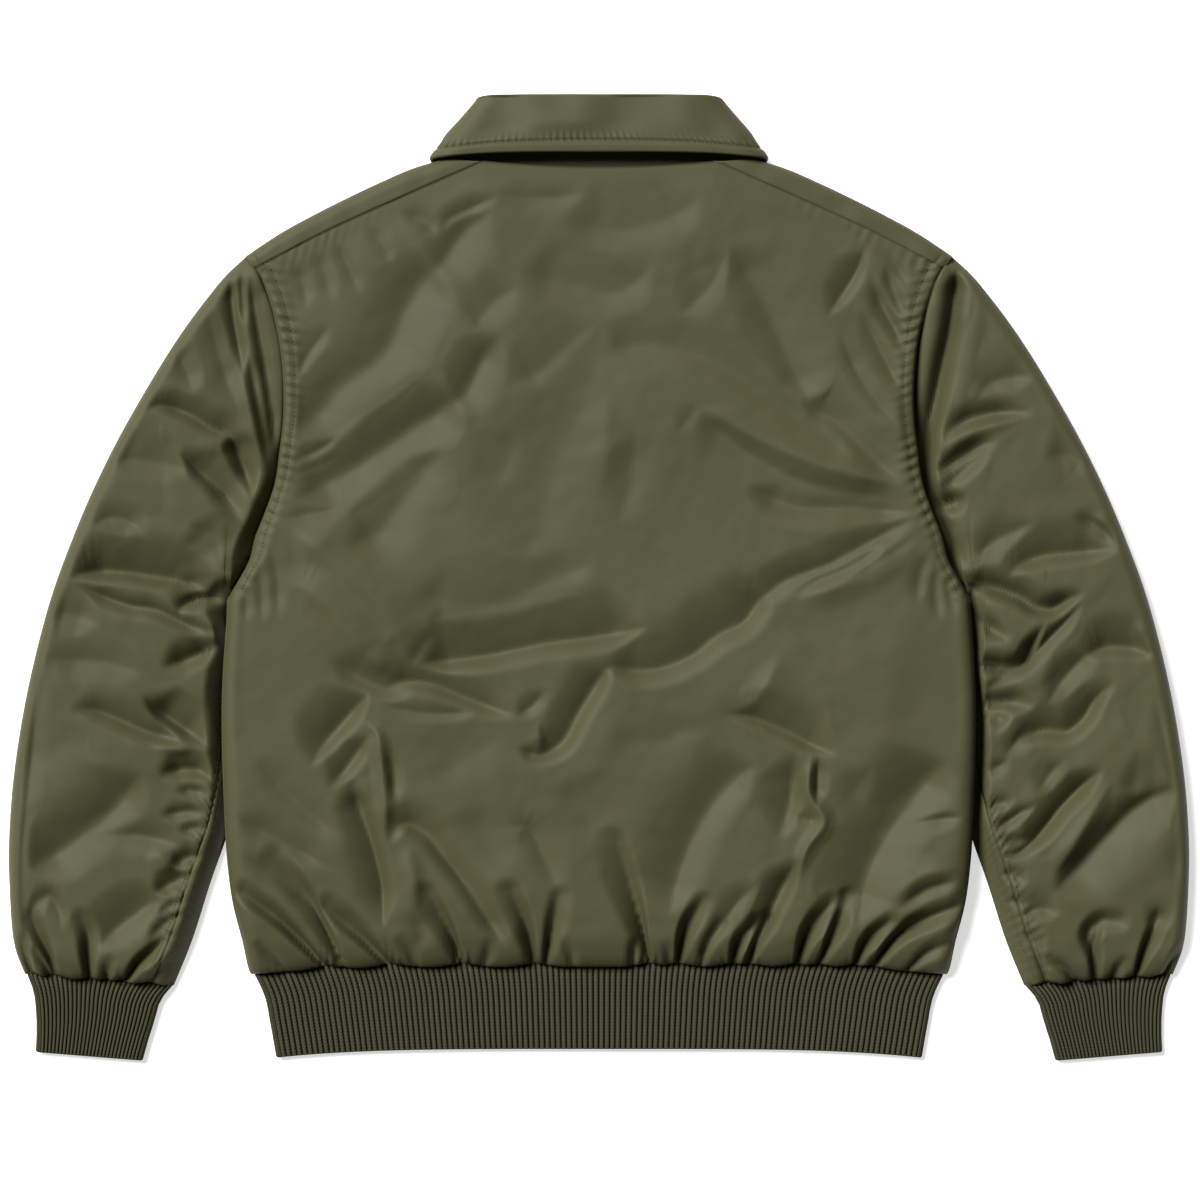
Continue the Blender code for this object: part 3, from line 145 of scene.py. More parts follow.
# %% a mesh object
def lay(name, points, faces, material, uv=None, smooth=True):
    """A mesh object from points in millimetres and faces of any corner counts; uv is one pair
    for each point."""
    mesh = bpy.data.meshes.new(name)
    flat = np.concatenate([np.asarray(f).ravel() for f in faces]).astype(np.int32)
    sizes = np.concatenate([np.full(len(f), np.asarray(f).shape[1]) for f in faces])
    starts = np.concatenate([[0], np.cumsum(sizes)[:-1]])
    points = np.asarray(points, float).reshape(-1, 3) * MM
    mesh.vertices.add(len(points))
    mesh.vertices.foreach_set("co", points.astype(np.float32).ravel())
    mesh.loops.add(len(flat))
    mesh.loops.foreach_set("vertex_index", flat)
    mesh.polygons.add(len(sizes))
    mesh.polygons.foreach_set("loop_start", starts.astype(np.int32))
    mesh.polygons.foreach_set("use_smooth", np.full(len(sizes), smooth))
    if uv is not None:
        layer = mesh.uv_layers.new(name="cloth")
        layer.data.foreach_set("uv", np.asarray(uv, np.float32).reshape(-1, 2)[flat].ravel())
    mesh.update(calc_edges=True)
    mesh.validate()
    mesh.materials.append(material)
    piece = bpy.data.objects.new(name, mesh)
    bpy.context.scene.collection.objects.link(piece)
    return piece


# %% a wall between two grids
def rim(edge, inner_edge, step):
    """Triangles between an edge's point numbers and every step-th one inside it."""
    i = np.arange(len(edge) - 1)
    near = (i + step // 2) // step
    fans = np.stack([edge[:-1], inner_edge[near], edge[1:]], axis=-1)
    j = np.arange(len(inner_edge) - 1)
    middle = edge[j * step + (step + 1) // 2]
    joins = np.stack([middle, inner_edge[j], inner_edge[j + 1]], axis=-1)
    return np.concatenate([fans, joins])


def shell(name, outer, inner, step, material):
    """A closed wall: the outer grid, an inner grid of every step-th row and column, four rims."""
    rows, columns = outer.shape[:2]
    ids = np.arange(rows * columns).reshape(rows, columns)
    few_rows, few_columns = inner.shape[:2]
    inside = ids.size + np.arange(few_rows * few_columns).reshape(few_rows, few_columns)
    rims = [rim(ids[0, ::-1], inside[0, ::-1], step), rim(ids[:, 0], inside[:, 0], step),
            rim(ids[-1], inside[-1], step), rim(ids[::-1, -1], inside[::-1, -1], step)]
    faces = [grid_quads(rows, columns), grid_quads(few_rows, few_columns, start=ids.size)[:, ::-1],
             np.concatenate(rims)]
    points = np.concatenate([outer.reshape(-1, 3), inner.reshape(-1, 3)])
    return lay(name, points, faces, material)


def normals_of(grid):
    """Unit normals of a grid: the cross product of its two central differences."""
    normal = np.cross(np.gradient(grid, axis=1), np.gradient(grid, axis=0))
    return normal / np.maximum(np.linalg.norm(normal, axis=-1, keepdims=True), 1e-9)


# %% [markdown]
# ## Creases
#
# A fold in padded nylon isn't a sine wave.  The cloth slopes down gently to a narrow line and
# comes up again steeply on the other side, and the padding swells a little on both sides.  Each
# fold here is a row of a table: how deep it is, how wide its left and its right side are, and the
# few points that it runs through.  The distance to that chain decides how far a point of the
# panel sinks.  A fold fades out at both ends, and a gather starts at its seam with full depth.

# %% creases
def chain_of(points, each=5):
    """A smooth chain through a few given points."""
    points = np.array(points, float)
    run = run_of(points)
    at = np.linspace(0, run[-1], each * (len(points) - 1) + 1)
    return curve(np.column_stack([run, points]), at)


def nearest_on(chain, x, y):
    """Distance to a chain; how far to its left the point lies, from -1 to 1, which turns smoothly
    round the chain's ends; and the place along it from 0 to 1."""
    steps = np.linalg.norm(np.diff(chain, axis=0), axis=1)
    start = run_of(chain)
    best, lean, place = np.full(x.shape, 1e9), np.zeros(x.shape), np.zeros(x.shape)
    for a, b, s0, step in zip(chain[:-1], chain[1:], start, steps):
        run = (b - a) / step
        along = np.clip((x - a[0]) * run[0] + (y - a[1]) * run[1], 0, step)
        dx, dy = x - a[0] - along * run[0], y - a[1] - along * run[1]
        gap = np.hypot(dx, dy)
        closer = gap < best
        best = np.where(closer, gap, best)
        lean = np.where(closer, (run[0] * dy - run[1] * dx) / np.maximum(gap, 1e-6), lean)
        place = np.where(closer, (s0 + along) / start[-1], place)
    return best, lean, place


# %% one crease
FADE_LENGTH = 30.0
FOLD_SPAN, GATHER_SPAN = 2.4, 1.4       # widths from the chain at which the slope ends
SWELL, SWELL_AT, SWELL_WIDTH = 0.07, 3.4, 1.2       # share of the depth, place and width of it
SWELL_FADES, SWELL_ENDS = 4.4, 6.0
ROUNDING, MORE_ROUNDING = 0.02, 0.14    # of a narrow fold's bottom, and what a wide fold adds


def crease(x, y, points, left, right, from_seam=False):
    """Profile (1 - s / 2.4)^2 of s = distance / width, less a wide swelling beside it, times a
    fade along the chain; both ends taper.  A gather from a seam is (1 - s / 1.4)^1.3: narrow at
    the seam, wider upwards and round at its end.  sqrt(s^2 + r) - sqrt(r) in place of s rounds
    the bottom, with a larger r for a fold that is wide on both sides."""
    chain = chain_of(points)
    reach = SWELL_ENDS * max(left, right)
    low, high = chain.min(axis=0) - reach, chain.max(axis=0) + reach
    near = (x > low[0]) & (x < high[0]) & (y > low[1]) & (y < high[1])
    gap, lean, place = nearest_on(chain, x[near], y[near])
    length = np.linalg.norm(np.diff(chain, axis=0), axis=1).sum()
    if from_seam:
        fade, wide = 1 - 0.7 * place ** 1.6, 0.5 + 0.7 * ramp(place, 0, 0.8)
    else:
        fade = ramp(np.minimum(place, 1 - place) * length, 0, min(0.38 * length, FADE_LENGTH))
        wide = 0.4 + 0.6 * fade
    s = gap / ((left + right + (left - right) * lean) / 2 * wide)
    added = 0.0 if from_seam else MORE_ROUNDING * float(ramp(min(left, right), 6, 13))
    soft = ROUNDING + added
    s = np.sqrt(s * s + soft) - np.sqrt(soft)
    if from_seam:
        shape = np.clip(1 - s / GATHER_SPAN, 0, 1) ** 1.3
    else:
        evenly = gap / ((left + right) / 2 * wide)
        shape = np.clip(1 - s / FOLD_SPAN, 0, 1) ** 2
        swell = SWELL * bell(evenly - SWELL_AT, SWELL_WIDTH)
        shape = shape - swell * (1 - ramp(evenly, SWELL_FADES, SWELL_ENDS))
    out = np.zeros(x.shape)
    out[near] = shape * fade
    return out


# %% gathers, and all folds together
DROP_DEPTH, DROP_WIDTH = 0.88, 0.85     # shares of the depth and width that a gather's row gives
SLOT_LEFT, SLOT_RIGHT = 3.2, 2.6


def gathers(x, y, table):
    """Share of the loft that the gathers take: each is a soft drop and a slot, 3 mm to a side,
    that runs up most of its length."""
    total = np.zeros(x.shape)
    for deep, left, right, points in table:
        drop = DROP_DEPTH * deep * crease(x, y, points, DROP_WIDTH * left, DROP_WIDTH * right, True)
        chain = chain_of(points)[:-4]
        ends = (chain[0], chain[len(chain) // 2], chain[-1])
        slot = deep * crease(x, y, ends, SLOT_LEFT, SLOT_RIGHT, True)
        total += np.clip(drop, 0, None) ** 3 + np.clip(slot, 0, None) ** 3
    return np.clip(np.cbrt(total), 0, 1)


def to_nearest(x, starts):
    """Distance to the nearest of a row's gathers."""
    return np.abs(x[..., None] - starts).min(axis=-1)


def relief(x, y, table):
    """Depth of all folds: troughs are joined by (sum of cubes)^(1/3), so that two that cross don't
    add up to a hole, and ridges, with a negative depth, in the same way."""
    down, up, swell = np.zeros(x.shape), np.zeros(x.shape), np.zeros(x.shape)
    for depth, left, right, points in table:
        shape = abs(depth) * crease(x, y, points, left, right)
        cube = np.clip(shape, 0, None) ** 3
        if depth > 0:
            down += cube
            swell = np.minimum(swell, shape)
        else:
            up += cube
    return np.cbrt(down) - np.cbrt(up) + swell


# %% unevenness and puckers
def unevenness(x, y, seed, shortest, longest, waves=36):
    """Sum of plane waves in random directions, longer waves higher: how evenly stuffed cloth
    still isn't flat.  The result has a standard deviation of about 1."""
    draw = np.random.default_rng(seed)
    length = shortest * (longest / shortest) ** draw.random(waves)
    turn = draw.random(waves) * 2 * np.pi
    shift = draw.random(waves) * 2 * np.pi
    total = np.zeros(x.shape)
    for size, angle, phase in zip(length, turn, shift):
        total += size * np.sin((x * np.cos(angle) + y * np.sin(angle)) * 2 * np.pi / size + phase)
    return total / np.sqrt((length ** 2).sum() / 2)


def puckers(along, away, seed, pitch, reach, slant=0.0):
    """Small waves that a line of stitches draws into the cloth: their pitch wanders along the
    seam, and they fade within a reach to both sides."""
    draw = np.random.default_rng(seed)
    place = along + slant * away
    waves = [draw.uniform(0.4, 1.0) * np.sin(place / draw.uniform(14, 60) + draw.uniform(0, 6))
             for _ in range(4)]
    wander = sum(waves)
    strength = np.clip(0.7 + 0.4 * np.sin(place / 19.0 + draw.uniform(0, 6))
                       + 0.4 * np.sin(place / 7.7 + draw.uniform(0, 6)), 0.2, 1.3)
    return strength * np.sin(2 * np.pi * place / pitch + 1.3 * wander) * bell(away, reach)


# %% [markdown]
# ## Nylon, rib knit, tape, thread and metal
#
# The shell is a tightly woven nylon with a soft sheen.  Its threads are far finer than a
# millimetre, so the weave is a bump of two crossing waves, broken up by a little noise, and the
# padding behind it gives it a second, larger unevenness.  Rib knit is matt: its bump is rows of
# small V-shaped loops that follow the ribs, so it reads the band's own UV map.

# %% material helpers
def new_material(name, colour, roughness, metallic=0.0, sheen=0.0, specular=0.5):
    """A Principled material with its constant values on the shader's own sockets."""
    made = bpy.data.materials.new(name)
    made.use_nodes = True
    shader = made.node_tree.nodes["Principled BSDF"]
    for socket, value in (("Base Color", (*colour, 1)), ("Roughness", roughness), ("Metallic", metallic),
                          ("Sheen Weight", sheen), ("Sheen Roughness", 0.45),
                          ("Specular IOR Level", specular)):
        shader.inputs[socket].default_value = value
    made.diffuse_color = (*colour, 1)
    return made, shader


def node(material, kind, inputs=None, **settings):
    """A node with its settings; inputs maps a socket to a value or to another node's output."""
    made = material.node_tree.nodes.new(kind)
    for key, value in settings.items():
        setattr(made, key, value)
    for socket, value in (inputs or {}).items():
        if isinstance(value, bpy.types.NodeSocket):
            material.node_tree.links.new(value, made.inputs[socket])
        else:
            made.inputs[socket].default_value = value
    return made


def maths(material, operation, *values):
    """A sum, product or function of values and of other nodes' outputs."""
    made = node(material, "ShaderNodeMath", dict(enumerate(values)), operation=operation)
    return made.outputs["Value"]


def feed(shader, socket, output):
    """Joins a node's output to one of the shader's sockets."""
    shader.id_data.links.new(output, shader.inputs[socket])


def tint(material, factor, low, high):
    """A colour between two, by a factor."""
    ramp_node = node(material, "ShaderNodeValToRGB", {"Fac": factor})
    ends = ramp_node.color_ramp.elements
    ends[0].color, ends[1].color = (*low, 1), (*high, 1)
    return ramp_node.outputs["Color"]


# %% nylon
NYLON = (0.0650, 0.0640, 0.0285)


def make_nylon(name, colour):
    """Woven nylon: weave bump from two crossing waves, slow changes of tone and of gloss."""
    material, shader = new_material(name, colour, 0.6, specular=0.18)
    where = node(material, "ShaderNodeTexCoord").outputs["Object"]
    tone = node(material, "ShaderNodeTexNoise", {"Vector": where, "Scale": 26.0, "Detail": 4.0,
                                                 "Roughness": 0.6})
    dark = tuple(0.93 * c for c in colour)
    light = tuple(1.06 * c for c in colour)
    shade = tint(material, tone.outputs["Fac"], dark, light)
    feed(shader, "Base Color", shade)
    gloss = node(material, "ShaderNodeMapRange", {"Value": tone.outputs["Fac"], "From Min": 0.3,
                                                  "From Max": 0.7, "To Min": 0.56, "To Max": 0.64})
    feed(shader, "Roughness", gloss.outputs["Result"])
    threads = []
    for direction in ("X", "Y"):
        wave = node(material, "ShaderNodeTexWave", {"Vector": where, "Scale": 620.0,
                                                    "Distortion": 0.6}, bands_direction=direction)
        threads.append(wave.outputs["Fac"])
    weave = maths(material, "ADD", *threads)
    crumple = node(material, "ShaderNodeTexNoise", {"Vector": where, "Scale": 95.0, "Detail": 5.0,
                                                    "Roughness": 0.55, "Distortion": 0.5})
    soft = node(material, "ShaderNodeBump", {"Height": crumple.outputs["Fac"], "Strength": 0.06,
                                             "Distance": 0.0016})
    fine = node(material, "ShaderNodeBump", {"Height": weave, "Strength": 0.10,
                                             "Distance": 0.0002, "Normal": soft.outputs["Normal"]})
    feed(shader, "Normal", fine.outputs["Normal"])
    return material


nylon = make_nylon("nylon", NYLON)

# %% rib knit
RIB = (0.056, 0.0555, 0.032)
# painted shade: the grooves' colour is near black for the shade that falls between the ribs
RIB_GROOVE_SHADE = (0.004, 0.004, 0.002)


def make_rib(name):
    """Rib knit: u counts ribs and v counts rows of loops.  The groove's colour is darker than the crest's,
    painted shade for the shade that falls in it, and each crest carries a column of V-shaped loops."""
    material, shader = new_material(name, RIB, 0.9, specular=0.06)
    shader.inputs["Sheen Roughness"].default_value = 0.6
    uv = node(material, "ShaderNodeUVMap", uv_map="cloth").outputs["UV"]
    parts = node(material, "ShaderNodeSeparateXYZ", {"Vector": uv})
    across = maths(material, "FRACT", parts.outputs["X"])
    aside = maths(material, "ABSOLUTE", maths(material, "SUBTRACT", across, 0.5))
    crest = node(material, "ShaderNodeMapRange", {"Value": aside, "From Min": 0.46,
                                                  "From Max": 0.25})
    lean = maths(material, "MULTIPLY_ADD", aside, 1.6, parts.outputs["Y"])
    loops = maths(material, "SINE", maths(material, "MULTIPLY", lean, 2 * math.pi))
    where = node(material, "ShaderNodeTexCoord").outputs["Object"]
    fuzz = node(material, "ShaderNodeTexNoise", {"Vector": where, "Scale": 900.0, "Detail": 3.0})
    mixed = maths(material, "MULTIPLY_ADD", fuzz.outputs["Fac"], 0.5, crest.outputs["Result"])
    painted_groove_shade = node(material, "ShaderNodeMapRange", {"Value": mixed, "From Min": 0.25,
                                                   "From Max": 1.25})
    # painted shade: the colour runs from near black in the groove to the rib's own colour on the crest
    shade = tint(material, painted_groove_shade.outputs["Result"], RIB_GROOVE_SHADE, RIB)
    feed(shader, "Base Color", shade)
    knit = node(material, "ShaderNodeBump", {"Height": loops, "Strength": 0.35,
                                             "Distance": 0.0004})
    woolly = node(material, "ShaderNodeBump", {"Height": fuzz.outputs["Fac"], "Strength": 0.3,
                                               "Distance": 0.0003, "Normal": knit.outputs["Normal"]})
    feed(shader, "Normal", woolly.outputs["Normal"])
    return material


rib_knit = make_rib("rib_knit")

# %% thread, tape and metal
def make_grained(name, colour, roughness, scale, strength, metallic=0.0):
    """A plain finish with a fine grain in its bump and its tone."""
    material, shader = new_material(name, colour, roughness, metallic)
    where = node(material, "ShaderNodeTexCoord").outputs["Object"]
    grain = node(material, "ShaderNodeTexNoise", {"Vector": where, "Scale": scale, "Detail": 3.0})
    shade = tint(material, grain.outputs["Fac"], tuple(0.8 * c for c in colour),
                 tuple(min(1.0, 1.15 * c) for c in colour))
    feed(shader, "Base Color", shade)
    bump = node(material, "ShaderNodeBump", {"Height": grain.outputs["Fac"], "Strength": strength,
                                             "Distance": 0.0002})
    feed(shader, "Normal", bump.outputs["Normal"])
    return material


thread = make_grained("thread", (0.040, 0.039, 0.019), 0.6, 1500.0, 0.3)
tape_cloth = make_grained("zip_tape", (0.055, 0.053, 0.030), 0.8, 1200.0, 0.5)
metal = make_grained("zip_metal", (0.20, 0.18, 0.145), 0.34, 500.0, 0.08, metallic=1.0)
print("materials:", len(bpy.data.materials))

# %% [markdown]
# ## The cut: outlines and heights
#
# These tables are the jacket's driving sizes, the same as its solids have.  The first ones are
# seam lines in plan.  The others are heights: how the padded back rises from the hem seam, how it
# drops to the shoulder seam, and where back and front lie on each other inside.

# %% seam lines
SEAM = 0.3
HEM_Y, HEM_CORNER = -299.5, (271.4, -307.7)
UNDERARM_Y = -15.2
SHOULDER_END = (269.0, 243.8)
NECK_HALF, NECK_Y, NECK_SIDE_Y = 91.6, 322.8, 327.2
NECK_EDGE = (124.0, 328.6)
SHOULDER_TIP = (276.0, 253.0)
FRONT_EDGE = 3.2
# columns: y, half width of the body below the underarm
SIDE = ((-307.7, 271.4), (-303.8, 273.0), (-280, 278.5), (-249, 285.9), (-218, 289.8), (-171, 292.5),
        (-93, 294.0), (-15.2, 289.4))
# columns: y, half width at the armhole seam
ARMHOLE = ((-15.2, 289.4), (-6.6, 285.5), (16, 273.5), (34, 268.9), (52.7, 261.5), (74.5, 254.0),
           (102.2, 249.6), (126, 246.8), (162.6, 246.8), (192.3, 250.5), (220.4, 258.0),
           (243.8, 269.0), (253.0, 276.0))
# columns: x, y of the shoulder's outline
SHOULDER = ((84, 346.5), (124, 328.6), (145.5, 321.8), (174.3, 309.3), (200.5, 296.8), (225, 284.3),
            (247.7, 271.8), (266.8, 259.4), (276, 253.0))
# columns: x, y of the shoulder seam
SHOULDER_SEAM = ((91.6, 327.2), (155.2, 299.1), (211.8, 273.4), (269.0, 243.8))

# %% heights
# columns: distance above the hem seam, height of the back
BACK_RISE = ((0, 9.0), (4, 14.5), (9, 19.5), (18, 24.5), (35, 27.5), (70, 28.5), (300, 28.5),
             (450, 27.5), (640, 27.0))
# columns: distance below the neck or shoulder seam, drop of the back
TOP_DROP = ((0, 6.9), (8, 6.2), (30, 4.0), (75, 1.6), (150, 0.0), (700, 0.0))
# columns: distance above the hem's corner, height of the side seam
SIDE_SEAM = ((0, 4.4), (10.2, 7.6), (30.7, 13.2), (63.7, 17.2), (107.7, 18.0), (292.5, 17.6))
# columns: y, meeting height, back edge, front edge along the armhole
ARM_EDGE = ((-15.2, 16.6, 21.5, 17.4), (0, 13.4, 22.0, 11.2), (16, 11.6, 22.6, 6.4), (34, 10.8, 23.0, 2.4),
            (60, 10.6, 23.4, 0.0), (126, 10.6, 23.4, 0.0), (202, 10.4, 22.6, 0.0),
            (224, 10.3, 21.4, 0.0), (253, 10.2, 20.0, 0.0))
# columns: y along the armhole, height where the back's turned edge meets the sleeve
ARM_FOOT = ((-15.2, 17.6), (-8, 12.0), (0, 7.5), (16, 6.0), (90, 6.5), (125, 10.5), (150, 14.0),
            (200, 17.0), (253, 18.0))
SIDE_ROLL, ARM_TURN = 13.0, 2.4         # radii of the back's edge at the side and at the armhole


# %% outlines as functions
def half_width(y):
    """Half width of the body at y: the side below the underarm, the armhole above."""
    y = np.asarray(y, float)
    return np.where(y <= UNDERARM_Y, curve(SIDE, y), curve(ARMHOLE, y))


def hem_line(x):
    """y of the hem seam, which sags towards its corners with (x / x1)^6."""
    return HEM_Y + (HEM_CORNER[1] - HEM_Y) * (np.abs(x) / HEM_CORNER[0]) ** 6


def top_line(x):
    """Neck seam, a parabola, as far as the shoulder seam, then the shoulder seam."""
    x = np.abs(x)
    neck = NECK_Y + (NECK_SIDE_Y - NECK_Y) * (x / NECK_HALF) ** 2
    return np.where(x <= NECK_HALF, neck, curve(SHOULDER_SEAM, x))


# %% [markdown]
# ## The back panel
#
# The back is one piece of nylon over padding.  At the hem it is gathered to a band that is
# shorter than itself, so deep little folds start at the seam and fade within a hand's breadth.
# From the underarms and the shoulders long soft folds run towards the middle.  A simulated cloth would put
# its folds anywhere, so they are listed one by one, one row each.

# %% gathers of the back
# columns: share of the loft, left and right width, points from the hem seam upwards
HEM_GATHERS = (
    (0.55, 6, 5, ((-240, -309), (-252, -298), (-264, -286))),
    (1.00, 5, 8, ((-212, -304), (-246, -268), (-277, -243))),
    (0.60, 10, 6, ((-198, -303), (-224, -250), (-250, -214))),
    (1.00, 5, 10, ((-162, -303), (-184, -280), (-212, -256))),
    (0.50, 5, 6, ((-142, -303), (-146, -292), (-152, -282))),
    (1.00, 11, 5, ((-106, -303), (-114, -278), (-131, -243))),
    (0.50, 4, 6, ((-92, -303), (-88, -294), (-86, -284))),
    (1.00, 10, 6, ((-50, -303), (-56, -272), (-67, -242))),
    (0.70, 5, 8, ((-43, -303), (-38, -276), (-32, -246))),
    (0.50, 4, 5, ((-20, -303), (-22, -292), (-26, -284))),
    (0.70, 5, 4, ((26, -303), (27, -290), (31, -276))),
    (0.92, 14, 5, ((40, -303), (33, -266), (16, -204))),
    (0.50, 4, 4, ((55, -303), (54, -294), (53, -286))),
    (1.00, 6, 7, ((61, -303), (67, -274), (80, -250))),
    (0.60, 5, 5, ((78, -303), (84, -284), (94, -268))),
    (1.00, 6, 7, ((104, -303), (108, -284), (122, -266))),
    (0.90, 6, 5, ((116, -303), (122, -284), (132, -264))),
    (1.00, 7, 8, ((154, -303), (162, -276), (180, -252))),
    (0.80, 5, 7, ((170, -303), (184, -270), (192, -246))),
    (1.00, 6, 7, ((198, -305), (208, -282), (226, -266))),
    (1.00, 8, 7, ((212, -305), (232, -278), (282, -252))),
    (0.55, 7, 7, ((236, -309), (256, -290), (280, -280))),
)

